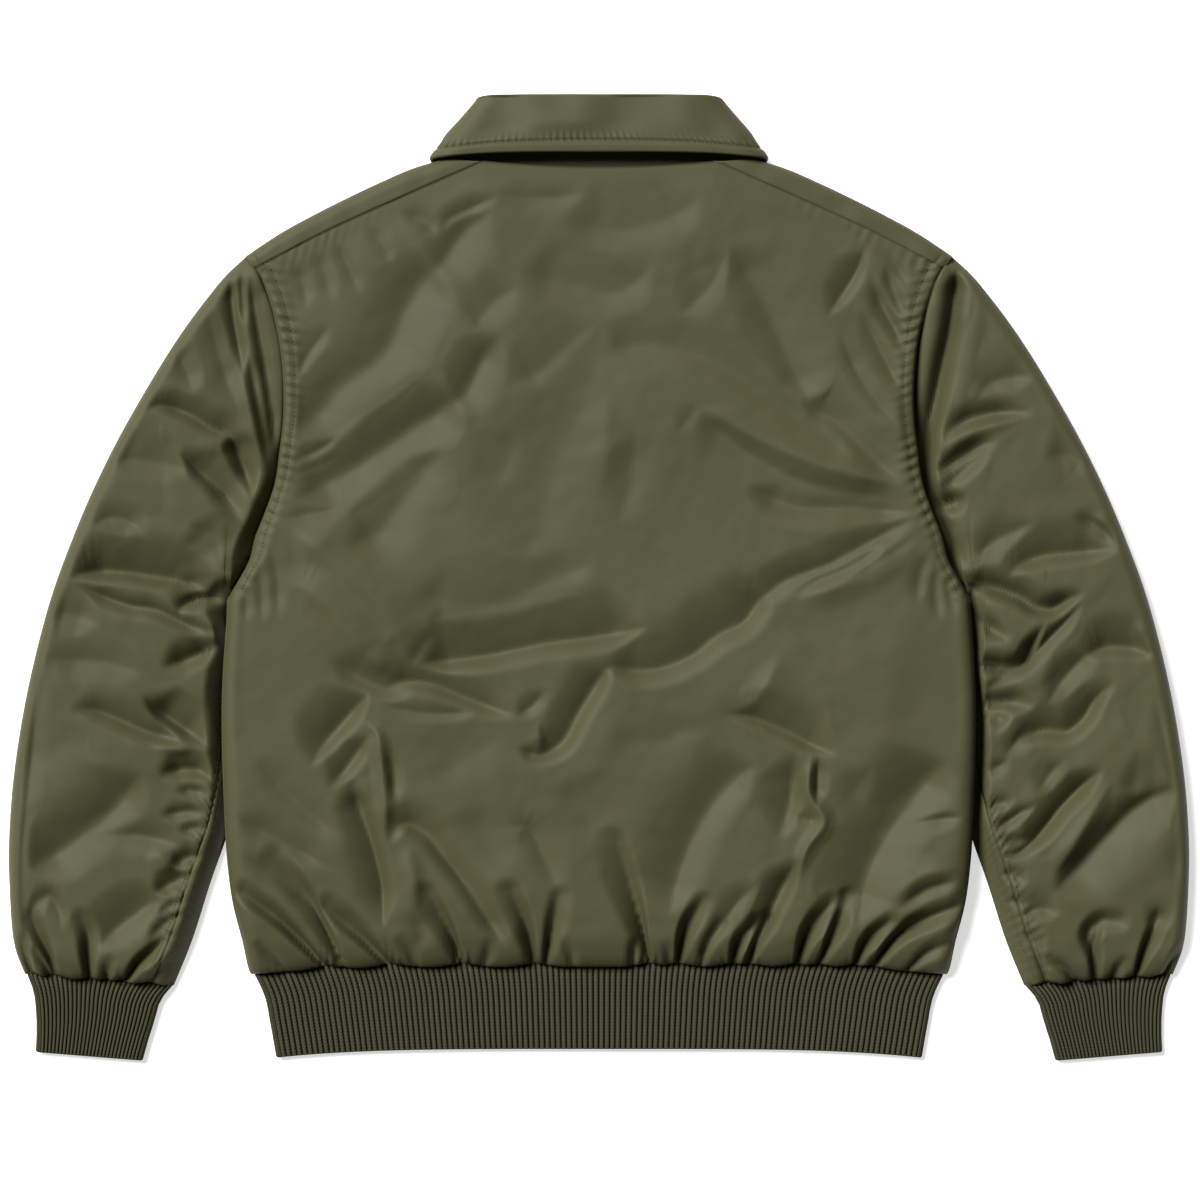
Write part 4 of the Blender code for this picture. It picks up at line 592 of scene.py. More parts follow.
# %% folds of the back
# columns: depth, left and right width, points; a negative depth is a ridge
BACK_CREASES = (
    # from the left armhole and shoulder
    (9.5, 15, 15, ((-240, 111), (-218, 131), (-199, 152), (-180, 165), (-163, 182), (-152, 208),
                   (-137, 233), (-117, 251))),
    (7.0, 10, 12, ((-136, 232), (-120, 250), (-108, 268), (-80, 290))),
    (4.5, 6, 4, ((-122, 262), (-119, 278), (-98, 290), (-76, 300))),
    (3.5, 6, 5, ((-158, 288), (-136, 280), (-122, 262))),
    (10.0, 14, 13, ((-238, 62), (-201, 81), (-167, 103), (-141, 121), (-119, 135), (-103, 146))),
    (8.0, 12, 11, ((-122, 134), (-104, 146), (-92, 168), (-75, 193))),
    (4.0, 6, 5, ((-240, 92), (-220, 100), (-198, 116))),
    (3.5, 6, 5, ((-240, 80), (-216, 90), (-190, 102))),
    (3.0, 7, 5, ((-250, 47), (-223, 52), (-190, 57))),
    (6.5, 16, 13, ((-200, 24), (-175, 36), (-156, 59), (-141, 78), (-120, 108))),
    (3.0, 5, 6, ((-206, 266), (-196, 246), (-184, 220))),
    (2.6, 5, 6, ((-222, 262), (-214, 242), (-206, 214))),
    (3.0, 5, 6, ((-238, 250), (-230, 232), (-228, 210))),
    (2.4, 5, 6, ((-184, 280), (-168, 262), (-160, 240))),
    (3.4, 7, 5, ((-238, 150), (-226, 176), (-208, 200))),
    # the middle of the upper back
    (4.2, 26, 18, ((-62, 8), (-46, 52), (-33, 100), (-22, 128), (-4, 172), (0, 202))),
    (4.2, 15, 10, ((-76, 148), (-45, 164), (-20, 187), (2, 202))),
    (4.6, 17, 10, ((-64, 240), (-20, 230), (12, 225), (44, 246))),
    (4.2, 17, 10, ((-30, 279), (14, 273), (46, 280), (84, 300))),
    (3.2, 9, 7, ((-84, 301), (-48, 297), (-6, 302))),
    (3.6, 14, 8, ((-100, 192), (-84, 214), (-60, 232))),
    (3.0, 16, 10, ((-84, 60), (-70, 96), (-58, 120))),
    (3.4, 12, 10, ((12, 40), (24, 74), (28, 120))),
    (-2.6, 12, 10, ((2, 70), (6, 110), (6, 150))),
    (2.6, 12, 9, ((60, 236), (90, 246), (104, 258))),
    # from the right shoulder and armhole
    (7.5, 9, 12, ((238, 72), (206, 103), (182, 125), (166, 133), (156, 150))),
    (6.0, 11, 15, ((168, 132), (148, 172), (124, 226), (102, 262))),
    (3.6, 14, 7, ((60, 204), (84, 226), (101, 258))),
    (6.5, 9, 4, ((176, 204), (192, 226), (203, 246), (208, 264))),
    (7.0, 4, 6, ((210, 242), (222, 212), (233, 192), (241, 170))),
    (4.5, 4, 5, ((222, 250), (231, 222), (241, 200))),
    (4.0, 4, 5, ((218, 272), (232, 246), (242, 226))),
    (4.5, 5, 6, ((202, 214), (220, 178), (238, 140))),
    (3.0, 5, 5, ((186, 194), (208, 150), (236, 116))),
    (4.5, 10, 12, ((206, 88), (170, 118), (130, 144), (90, 170), (40, 184), (-4, 176))),
    (6.0, 13, 9, ((238, 62), (196, 68), (150, 80), (115, 100), (74, 130))),
    (-3.4, 8, 7, ((232, 76), (188, 84), (150, 98), (113, 116), (78, 138))),
    (1.8, 6, 5, ((60, 114), (70, 126), (78, 140))),
    (8.5, 8, 15, ((248, 52), (200, 56), (150, 58), (112, 74))),
    (3.0, 4, 6, ((236, 96), (222, 104), (200, 124))),
    # across the middle
    (12.5, 19, 6, ((-146, -66), (-88, -59), (-38, -49), (5, -43), (40, -36))),
    (4.0, 16, 10, ((-150, -12), (-80, -16), (-30, 4), (0, 14))),
    (11.5, 17, 6.5, ((0, -66), (40, -70), (72, -59), (94, -42), (112, -33), (126, -15), (142, -2))),
    (7.0, 10, 6, ((118, -26), (142, -2), (178, 12), (215, 32), (248, 50))),
    (5.5, 5, 5, ((148, -13), (166, -2), (190, 8), (232, 34))),
    (3.4, 5, 5, ((186, -4), (214, 12), (250, 36))),
    (-4.0, 9, 8, ((150, -18), (190, -2), (246, 30))),
    (11.5, 12, 5, ((-60, -131), (-42, -135), (-30, -128), (-15, -103), (-2, -82), (12, -60))),
    (6.0, 5, 3.5, ((-64, -130), (-46, -137), (-30, -132))),
    (8.5, 9, 5, ((-176, -90), (-157, -80), (-134, -80), (-103, -92), (-62, -107))),
    (3.6, 5, 4, ((-178, -91), (-160, -99), (-126, -104), (-84, -101))),
    (4.0, 6, 4, ((-66, -107), (-52, -98), (-40, -84))),
    (-5.5, 22, 9, ((-246, -1), (-226, -7), (-211, -18), (-192, -42), (-176, -61), (-150, -74))),
    (-5.5, 20, 9, ((-240, 42), (-199, 8), (-176, -12), (-154, -44), (-142, -64))),
    (2.6, 5, 7, ((-148, -70), (-137, -52), (-126, -36))),
    (7.0, 15, 6, ((-212, -58), (-184, -77), (-160, -85), (-134, -75))),
    # the lower left
    (11.5, 14, 5, ((-226, -147), (-215, -130), (-199, -111), (-186, -96), (-176, -84))),
    (8.5, 9, 4, ((-211, -163), (-195, -145), (-178, -119))),
    (-5.0, 4, 5, ((-188, -110), (-174, -116), (-169, -140), (-166, -180), (-166, -206))),
    (4.5, 3, 4, ((-163, -128), (-159, -150), (-158, -176))),
    (12.5, 10, 5, ((-168, -272), (-169, -238), (-176, -207), (-186, -176), (-193, -150))),
    (9.5, 5, 10, ((-70, -290), (-88, -261), (-103, -238), (-120, -216), (-138, -195), (-152, -189),
                  (-164, -207))),
    (-3.4, 5, 6, ((-150, -204), (-144, -232), (-142, -262))),
    (5.0, 8, 6, ((-280, -214), (-246, -234), (-212, -266))),
    (4.5, 9, 6, ((-288, -182), (-242, -206), (-206, -226))),
    (4.0, 9, 7, ((-268, -138), (-236, -172), (-196, -204))),
    (3.0, 6, 5, ((-146, -256), (-138, -276), (-142, -292))),
    (5.0, 10, 7, ((-74, -194), (-60, -190), (-42, -218), (-30, -246))),
    (2.8, 15, 12, ((-136, -162), (-107, -138), (-70, -122))),
    (2.4, 14, 12, ((-30, -150), (-12, -176), (-8, -214))),
    (2.6, 15, 12, ((4, -122), (40, -123), (84, -110))),
    (2.6, 16, 12, ((-70, -236), (-90, -200), (-92, -170))),
    # the lower right
    (9.5, 13, 4.5, ((94, -103), (120, -107), (146, -118), (170, -130), (188, -136))),
    (-5.0, 7, 17, ((96, -104), (120, -95), (131, -80), (142, -56))),
    (9.0, 14, 5, ((138, -204), (147, -184), (151, -161), (153, -130))),
    (13.5, 9, 4, ((120, -290), (132, -264), (144, -239), (158, -213))),
    (-5.5, 4, 5, ((152, -236), (162, -207), (175, -187), (163, -166), (166, -132))),
    (5.0, 3, 5, ((169, -178), (170, -156), (171, -134))),
    (3.6, 5, 4, ((150, -182), (160, -186), (172, -187))),
    (8.5, 17, 9, ((53, -264), (64, -222), (82, -184), (100, -160), (124, -140))),
    (5.5, 9, 6, ((84, -288), (104, -256), (126, -232))),
    (13.5, 18, 12, ((200, -272), (208, -230), (228, -192), (251, -161), (272, -136))),
    (5.5, 6, 4, ((290, -183), (251, -188), (220, -201))),
    (6.0, 8, 5, ((284, -232), (256, -240), (230, -258))),
    (-4.0, 7, 7, ((284, -222), (250, -230), (224, -252))),
    (5.0, 6, 5, ((182, -290), (190, -262), (206, -236))),
    (-2.0, 16, 20, ((250, -8), (232, -60), (218, -120), (210, -176))),
    (3.6, 14, 14, ((192, -140), (206, -178), (208, -206))),
    # short ones under the armholes
    (2.8, 4, 5, ((-278, 2), (-275, -14), (-274, -34))),
    (2.8, 4, 5, ((-266, 18), (-262, -8), (-262, -36))),
    (3.0, 5, 5, ((-256, 30), (-250, 2), (-250, -34))),
    (3.0, 5, 5, ((258, 24), (250, 4), (246, -22))),
    (3.4, 5, 5, ((263, 16), (262, -8), (264, -34))),
    (2.8, 5, 5, ((268, 8), (274, -12), (280, -30))),
)
print("gathers at the hem:", len(HEM_GATHERS), " folds of the back:", len(BACK_CREASES))

# %% the back's grid
SCALLOP, OVERHANG, OVERHANG_AT = 3.0, 3.2, 5.0
GATHER_X = np.array([row[3][0][0] for row in HEM_GATHERS if row[0] > 0.7], float)
BACK_STEP = 4
BACK_COLUMNS, BACK_ROWS = 76 * BACK_STEP + 1, 70 * BACK_STEP + 1


def scallops(x):
    """Between two gathers the cloth swells over the band: s = a (sqrt(d / 22) - 0.5)."""
    swell = SCALLOP * (np.clip(to_nearest(x, GATHER_X) / 22, 0, 1) ** 0.5 - 0.5)
    return swell * (1 - (np.abs(x) / HEM_CORNER[0]) ** 12)


def crowded_columns(count):
    """Places from -1 to 1 at equal steps of a density's running sum: 1 + 2.2 near each gather
    + 1 near the two ends."""
    t = np.linspace(-1, 1, 4001)
    nearest = to_nearest(t * HEM_CORNER[0], GATHER_X)
    density = 1 + 2.2 * bell(nearest, 6.0) + np.abs(t) ** 12
    total = np.concatenate([[0], np.cumsum((density[1:] + density[:-1]) / 2)])
    return np.interp(np.linspace(0, total[-1], count), total, t)


def back_plan():
    """x and y: columns run from the hem seam to the neck and shoulder seams, rows from side to
    side.  The others are the y at which a row meets the outline, and each point's distance
    above the hem seam and below the top one."""
    column = crowded_columns(BACK_COLUMNS)[None, :]
    along = np.linspace(0, 1, BACK_ROWS)[:, None]
    share = along ** 1.12
    side = HEM_CORNER[1] + (SHOULDER_END[1] - HEM_CORNER[1]) * share
    x = half_width(side) * column
    hem_x, top_x = HEM_CORNER[0] * column, SHOULDER_END[0] * column
    swell = (1 - share) ** 8 * scallops(hem_x)
    y = (side + (1 - share) * (hem_line(hem_x) - HEM_CORNER[1]) - swell
         + share * (top_line(top_x) - SHOULDER_END[1]))
    above_hem = y - hem_line(hem_x) + swell
    puff = OVERHANG * (0.7 + scallops(hem_x) / SCALLOP) * hump(above_hem, OVERHANG_AT)
    return x, y - puff, side + 0 * x, above_hem, top_line(top_x) - y


# %% the back's heights
STITCH_INSET, FOLD_DEPTH = 9.5, 0.88
GATHER_FLOOR, GATHER_SHARE = 6.0, 0.95  # the height that a gather goes down to, and how nearly


def back_height(x, y, side, above_hem, below_top, inwards):
    """Loft, less gathers and folds, rolled over at the sides and drawn down at the seams."""
    rise = curve(BACK_RISE, above_hem)
    plain = rise - curve(TOP_DROP, np.abs(below_top))
    plain = plain - gathers(x, y, HEM_GATHERS) * (plain - GATHER_FLOOR) * GATHER_SHARE
    beside = bell(to_nearest(x, GATHER_X), 13.0)
    small = puckers(x, above_hem - 3, seed=7, pitch=5.8, reach=6.0) * ramp(above_hem, 0.5, 3)
    plain = plain + (0.4 + 1.3 * beside) * small
    clear = ramp(inwards, 2, 18) * ramp(above_hem, 2, 26) * ramp(np.abs(below_top), 3, 22)
    plain = plain - clear * FOLD_DEPTH * relief(x, y, BACK_CREASES)
    plain = plain + clear * (0.9 * unevenness(x, y, 3, shortest=70, longest=260)
                             + 0.10 * unevenness(x, y, 5, shortest=14, longest=40))
    seam = curve(SIDE_SEAM, side - HEM_CORNER[1]) + SEAM / 2
    rolled = seam + (plain - seam) * arc(inwards, SIDE_ROLL)
    edge = np.minimum(curve(ARM_EDGE, side)[..., 1], plain)
    sloped = plain - (plain - edge) * np.clip(1 - inwards / 16, 0, 1) ** 2
    low = curve(ARM_FOOT, side)
    sloped = low + (sloped - low) * arc(inwards, ARM_TURN)
    return np.where(side <= UNDERARM_Y, rolled, sloped)


def stitched_edges(x, side, below_top, inwards):
    """What the topstitching does beside the armhole, and the shoulder and neck seams."""
    armhole = ramp(side, -24, -4)
    slanted = puckers(side, inwards - 7, seed=11, pitch=8.4, reach=8.0, slant=0.8)
    groove, bulge = 0.6 * bell(inwards - STITCH_INSET, 1.6), 0.5 * bell(inwards - 4.5, 3.0)
    change = armhole * (1.45 * slanted * ramp(inwards, 1.5, 5) - groove + bulge)
    below = np.abs(below_top)
    shoulder = 0.55 * ramp(np.abs(x), 120, 240)
    small = puckers(x, below - 2, seed=17, pitch=9.0, reach=9.0, slant=0.4)
    change = change + shoulder * small * ramp(below, 0.3, 2.5)
    return change - 0.25 * bell(below, 0.9)


x, y, back_side, above_hem, below_top = back_plan()
inwards = half_width(back_side) - np.abs(x)
back_z = back_height(x, y, back_side, above_hem, below_top, inwards)
back_z = back_z + stitched_edges(x, back_side, below_top, inwards)
back_grid = np.stack([x, y, back_z], axis=-1)


def lowest_near(z, step):
    """Lowest height within one coarse cell of every step-th point."""
    padded = np.pad(z, step, mode="edge")
    rows, columns = z.shape
    shifted = [padded[step + i:step + i + rows, step + j:step + j + columns]
               for i in range(-step, step + 1, 2) for j in range(-step, step + 1, 2)]
    return np.minimum.reduce(shifted)[::step, ::step]


WALL = 1.2
back_inner = back_grid[::BACK_STEP, ::BACK_STEP].copy()
back_inner[1:-1, 1:-1, 2] = lowest_near(back_z, BACK_STEP)[1:-1, 1:-1] - WALL
for border in (np.s_[0], np.s_[-1], np.s_[:, 0], np.s_[:, -1]):
    back_inner[border][:, 2] -= WALL
back = shell("back_shell", back_grid, back_inner, BACK_STEP, nylon)
print("back panel:", len(back.data.polygons), "faces, height", back_z.min().round(1), "to",
      back_z.max().round(1))

# %% [markdown]
# ## The fronts
#
# The jacket lies on its fronts, so they are flat underneath and hardly seen.  Two parts of them
# show: the side below each side seam, where the padding lifts off the table, and the strip that
# comes over the shoulder to the shoulder seam.  The grid runs up the front, round the shoulder's
# outline and down to that seam in one piece.

# %% rows of the fronts
# each row of the front's grid runs from a point at the zip to one at the side
FRONT_SIDE_Y = (-307.7, -297.5, -277, -244, -200, -152, -104, -57, -15.2, 0, 16, 34, 76, 126, 178,
                224)
FRONT_MIDDLE = ((FRONT_EDGE, -299.5), (FRONT_EDGE, -289.5), (FRONT_EDGE, -269),
                (FRONT_EDGE, -236), (FRONT_EDGE, -190), (FRONT_EDGE, -138), (FRONT_EDGE, -82),
                (FRONT_EDGE, -24), (FRONT_EDGE, 36), (FRONT_EDGE, 84), (FRONT_EDGE, 130),
                (FRONT_EDGE, 178), (FRONT_EDGE, 210), (FRONT_EDGE, 256), (60, 266), (104, 294))

# %% how the fronts lift
COLLAR_LIFT, SIDE_LIFT = 4.3, 30.0
LIFT_FROM_Y, LIFT_FULL_Y, LIFT_FULL_X, LIFT_END_X = 178, 210, 138, 168
SHOULDER_ROLL, SHOULDER_MID, STRIP_TOP = 9.5, 10.2, 20.0
SHOULDER_LEAN = math.cos(math.radians(26.5))
STRIP_TUCK = 0.7                        # how far the strip runs on under the back's edge


def collar_lift(x, y):
    """How far the fronts lie higher over the collar's points."""
    return (COLLAR_LIFT * ramp(y, LIFT_FROM_Y, LIFT_FULL_Y)
            * (1 - ramp(np.abs(x), LIFT_FULL_X, LIFT_END_X)))


def side_lift(edge_height, inwards):
    """z = h (1 - d / w)^1.5, with w = 30 h / 18."""
    reach = SIDE_LIFT * np.maximum(edge_height, 1e-6) / 18.0
    return edge_height * np.clip(1 - inwards / reach, 0, 1) ** 1.5


def moved_out(points, distance):
    """A chain in plan, moved to its left."""
    run = unit_of(np.gradient(points, axis=0))
    return points + distance * np.column_stack([-run[:, 1], run[:, 0]])


def thicken(piece):
    """A wall of cloth inwards from the face that shows."""
    cloth = piece.modifiers.new("cloth", "SOLIDIFY")
    cloth.thickness, cloth.offset = WALL * MM, -1.0


# %% the fronts' plan
def front_plan():
    """Rows go up from the hem, the last ones over the shoulder's outline to its seam; and the
    number of the row that lies on that outline."""
    share = 1 - (1 - np.linspace(0, 1, 91)[None, :]) ** 1.5
    number = np.concatenate([np.linspace(0, 8, 41)[:-1], np.linspace(8, 15, 36)])
    side_y = np.interp(number, np.arange(16), FRONT_SIDE_Y)[:, None]
    middle = np.array(FRONT_MIDDLE, float)
    mid_x, mid_y = (np.interp(number, np.arange(16), middle[:, k])[:, None] for k in (0, 1))
    x = mid_x + (half_width(side_y) - mid_x) * share
    y = mid_y + (side_y - mid_y) * share * ramp(x, 14, 70)
    up = number[:, None] / 16
    first = HEM_Y + (HEM_CORNER[1] - HEM_Y) * share[0] * ramp(x[0], 14, 70)
    y = y + (1 - up) ** 4 * (hem_line(x) - first)
    outline_x = NECK_EDGE[0] + (SHOULDER_TIP[0] - NECK_EDGE[0]) * share[0]
    outline = np.column_stack([outline_x, curve(SHOULDER, outline_x)])
    seam_x = NECK_HALF + (SHOULDER_END[0] - NECK_HALF) * share[0]
    seam = moved_out(np.column_stack([seam_x, curve(SHOULDER_SEAM, seam_x)]), -STRIP_TUCK)
    below = np.stack([x, y], axis=-1)
    roll = 1 - (np.linspace(0, 1, 13)[1:, None, None]) ** 0.6
    over = np.linspace(0, 1, 16)[1:, None, None] ** 1.4
    grid = np.concatenate([below, outline + (below[-1] - outline) * roll,
                           outline + (seam - outline) * over])
    return grid, len(below) + len(roll) - 1


# %% the fronts
def front_panel(name, sign):
    """Underside, lifted at the side, roll of the shoulder, and the strip, which is a little
    uneven and drawn down by its stitches and at its two edges."""
    grid, fold = front_plan()
    x, y = grid[..., 0], grid[..., 1]
    on_back = np.arange(len(grid))[:, None] > fold
    inwards = np.clip(half_width(np.minimum(y, SHOULDER_TIP[1])) - x, 0, None)
    to_outline = np.clip((curve(SHOULDER, x) - y) * SHOULDER_LEAN, 0, None)
    to_outline[fold] = 0
    edge = np.where(y <= UNDERARM_Y + 0.01, curve(SIDE_SEAM, y - HEM_CORNER[1]) - SEAM / 2,
                    curve(ARM_EDGE, y)[..., 2])
    under = np.maximum(collar_lift(x, y), side_lift(edge, inwards))
    under = SHOULDER_MID - (SHOULDER_MID - under) * arc(to_outline, SHOULDER_ROLL)
    over = SHOULDER_MID + (STRIP_TOP - SHOULDER_MID) * arc(to_outline, SHOULDER_ROLL)
    seam_gap = np.linalg.norm(grid - grid[-1], axis=-1)
    lively = ramp(to_outline, 1, 7)
    uneven = 0.4 * unevenness(sign * x, y, 23, shortest=20, longest=60)
    over = over + lively * (uneven - 0.3 * bell(seam_gap, 0.9)
                            - 0.8 * bell(inwards - STITCH_INSET, 1.5) - 1.2 * bell(inwards, 2.5))
    z = np.where(on_back, over, under)
    outer = np.stack([sign * x, y, z], axis=-1)
    piece = lay(name, outer, turned([grid_quads(*x.shape)], sign > 0), nylon)
    thicken(piece)
    return piece


fronts = {name: front_panel("front_" + name + "_shell", sign) for name, sign in SIDES}
print("fronts:", [len(piece.data.polygons) for piece in fronts.values()], "faces")

# %% [markdown]
# ## The sleeves
#
# A sleeve is cut in two pieces.  The larger one wraps the outer edge, the smaller one lies at the
# inner edge, and a seam joins them on top, with a line of topstitching on either side of it.  In
# plan a sleeve is a straight blend between its inner and its outer edge, except that its first
# rows follow the curve of the armhole.  It climbs from the inner edge, rolls over at the outer
# one, and lies in a valley beside the armhole.

# %% a sleeve's edges and heights
# columns: share of the length, x, y of the outer edge
SLEEVE_OUTER = ((0, 276, 253), (0.04, 289.4, 240.6), (0.1, 305, 221.9), (0.2, 330, 187.6),
                (0.31, 358.5, 141), (0.43, 384.5, 93), (0.55, 409, 38), (0.66, 431, -24),
                (0.77, 450.5, -108.8), (0.86, 459.5, -181), (0.92, 460.6, -232),
                (0.965, 457.0, -284), (1, 449, -307))
# columns: share of the length, x, y, height of the inner edge
SLEEVE_INNER = ((0, 289.4, -15.2, 8.0), (0.05, 290.6, -27, 6.4), (0.1, 289.4, -44, 5.0),
                (0.16, 285, -64, 4.2), (0.3, 281, -108, 3.4), (0.45, 282, -152, 3.4),
                (0.6, 289.5, -194, 3.6), (0.75, 304, -237, 4.6), (0.88, 318, -281, 5.0),
                (1, 332, -315.5, 4.1))
# columns: share of the length, height of the upper face, height where its two walls meet
SLEEVE_LOFT = ((0, 22.0, 10.4), (0.08, 23.5, 9.0), (0.2, 25, 8.2), (0.5, 25.5, 8.0), (0.8, 25, 8.0),
               (0.9, 24.5, 7.4), (0.95, 23.4, 6.4), (0.975, 21, 5.4), (0.99, 16.0, 4.7), (1, 9.0, 4.3))
# columns: y along the armhole, height of the sleeve's edge there
SLEEVE_HEAD = ((-15.2, 8.0), (0, 6.5), (16, 5.5), (60, 5.5), (90, 6.0), (125, 10.0), (150, 13.5),
               (200, 17.0), (224, 19.4), (243.8, 19.6), (253, 10.2))
# columns: y along the armhole, how far the sleeve stays at that height, distance in which it climbs
HEAD_REACH = {"left": ((-15.2, 0, 5), (0, 0, 13), (25, 0, 20), (60, 0, 15), (95, 0, 16),
                       (130, 0, 22), (253, 0, 28)),
              "right": ((-15.2, 0, 5), (0, 3, 8), (40, 5, 8), (95, 5, 9), (130, 2, 16),
                        (253, 0, 28))}
# columns: y along the armhole, distance from it in which the folds grow to their full depth
FOLD_REACH = {"left": ((-15.2, 8), (0, 16), (25, 20), (60, 16), (100, 12), (130, 6), (253, 5)),
              "right": ((-15.2, 8), (0, 12), (60, 13), (100, 11), (130, 5), (253, 5))}

# %% a sleeve's turns and rises
SLEEVE_ROLL, SEAM_INSET, SLEEVE_LENGTH = 11.0, 16.0, 560.0
HEAD_TUCK = 0.5                         # how far a sleeve runs on under the back's edge
ARM_PUSH, ARM_PUSH_AT = 18.0, 0.08      # how far the rows below the armhole bow out, and where most
SEAM_TUCK = 1.2                         # how far the smaller piece runs on under the larger one
# columns: share of the length, distance within which the inner edge rises to the loft
SLEEVE_RISE = {"left": ((0, 18), (0.05, 15), (0.09, 10), (0.13, 14), (0.3, 15), (0.38, 13),
                        (0.45, 11), (0.6, 12), (0.7, 14), (0.9, 16), (1, 20)),
               "right": ((0, 14), (0.06, 8), (0.1, 6), (0.5, 6), (0.6, 9), (0.7, 16), (0.9, 24),
                         (1, 28))}
# columns: share of the length, how far the sleeve stays flat beside its inner edge
SLEEVE_FLAT = {"left": ((0, 0), (0.08, 0), (0.12, 1), (0.16, 5), (0.22, 9), (0.3, 12),
                        (0.45, 10), (0.6, 2), (0.7, 0), (1, 0)),
               "right": ((0, 0), (0.06, 2), (0.1, 5), (0.16, 10), (0.22, 15), (0.3, 19),
                         (0.45, 17), (0.6, 7), (0.7, 1), (0.8, 0), (1, 0))}
FLOOR_GAP = 3.6                         # below this height a fold's bottom is held up softly
RIM_LIFT, INNER_TURN = 2.6, 1.5         # swelling of the outer edge, rounding of the inner one
UNDER_LIFT, UNDER_LIFT_MORE = 8.0, 3.0  # reach of the lift beside a low inner edge, and its growth

# %% folds of the sleeves
# gathers at the cuff: how much of the loft they take, left and right width, points from the cuff up
CUFF_GATHERS = {
    "left": ((0.80, 5, 5, ((-441, -311), (-447, -296), (-450, -282))),
             (0.99, 5, 6, ((-424, -312), (-430, -291), (-437, -276), (-442, -262))),
             (0.80, 4, 4, ((-427, -312), (-433, -298), (-439, -290))),
             (0.99, 6, 7, ((-398, -314), (-399, -292), (-399, -276), (-403, -264))),
             (0.55, 5, 4, ((-385, -315), (-383, -304), (-380, -297))),
             (0.90, 5, 6, ((-374, -316), (-361, -299), (-346, -287), (-336, -276))),
             (0.55, 4, 5, ((-352, -318), (-344, -306), (-336, -298)))),
    "right": ((0.85, 5, 5, ((441, -311), (449, -295), (456, -286))),
              (0.99, 5, 6, ((418, -312), (424, -292), (431, -276), (436, -262))),
              (0.99, 7, 7, ((387, -315), (386, -292), (382, -274), (390, -266), (404, -265))),
              (0.60, 4, 5, ((400, -313), (404, -303), (409, -296))),
              (0.75, 5, 5, ((373, -316), (364, -302), (352, -296))),
              (0.60, 5, 5, ((350, -318), (344, -304), (340, -290)))),
}
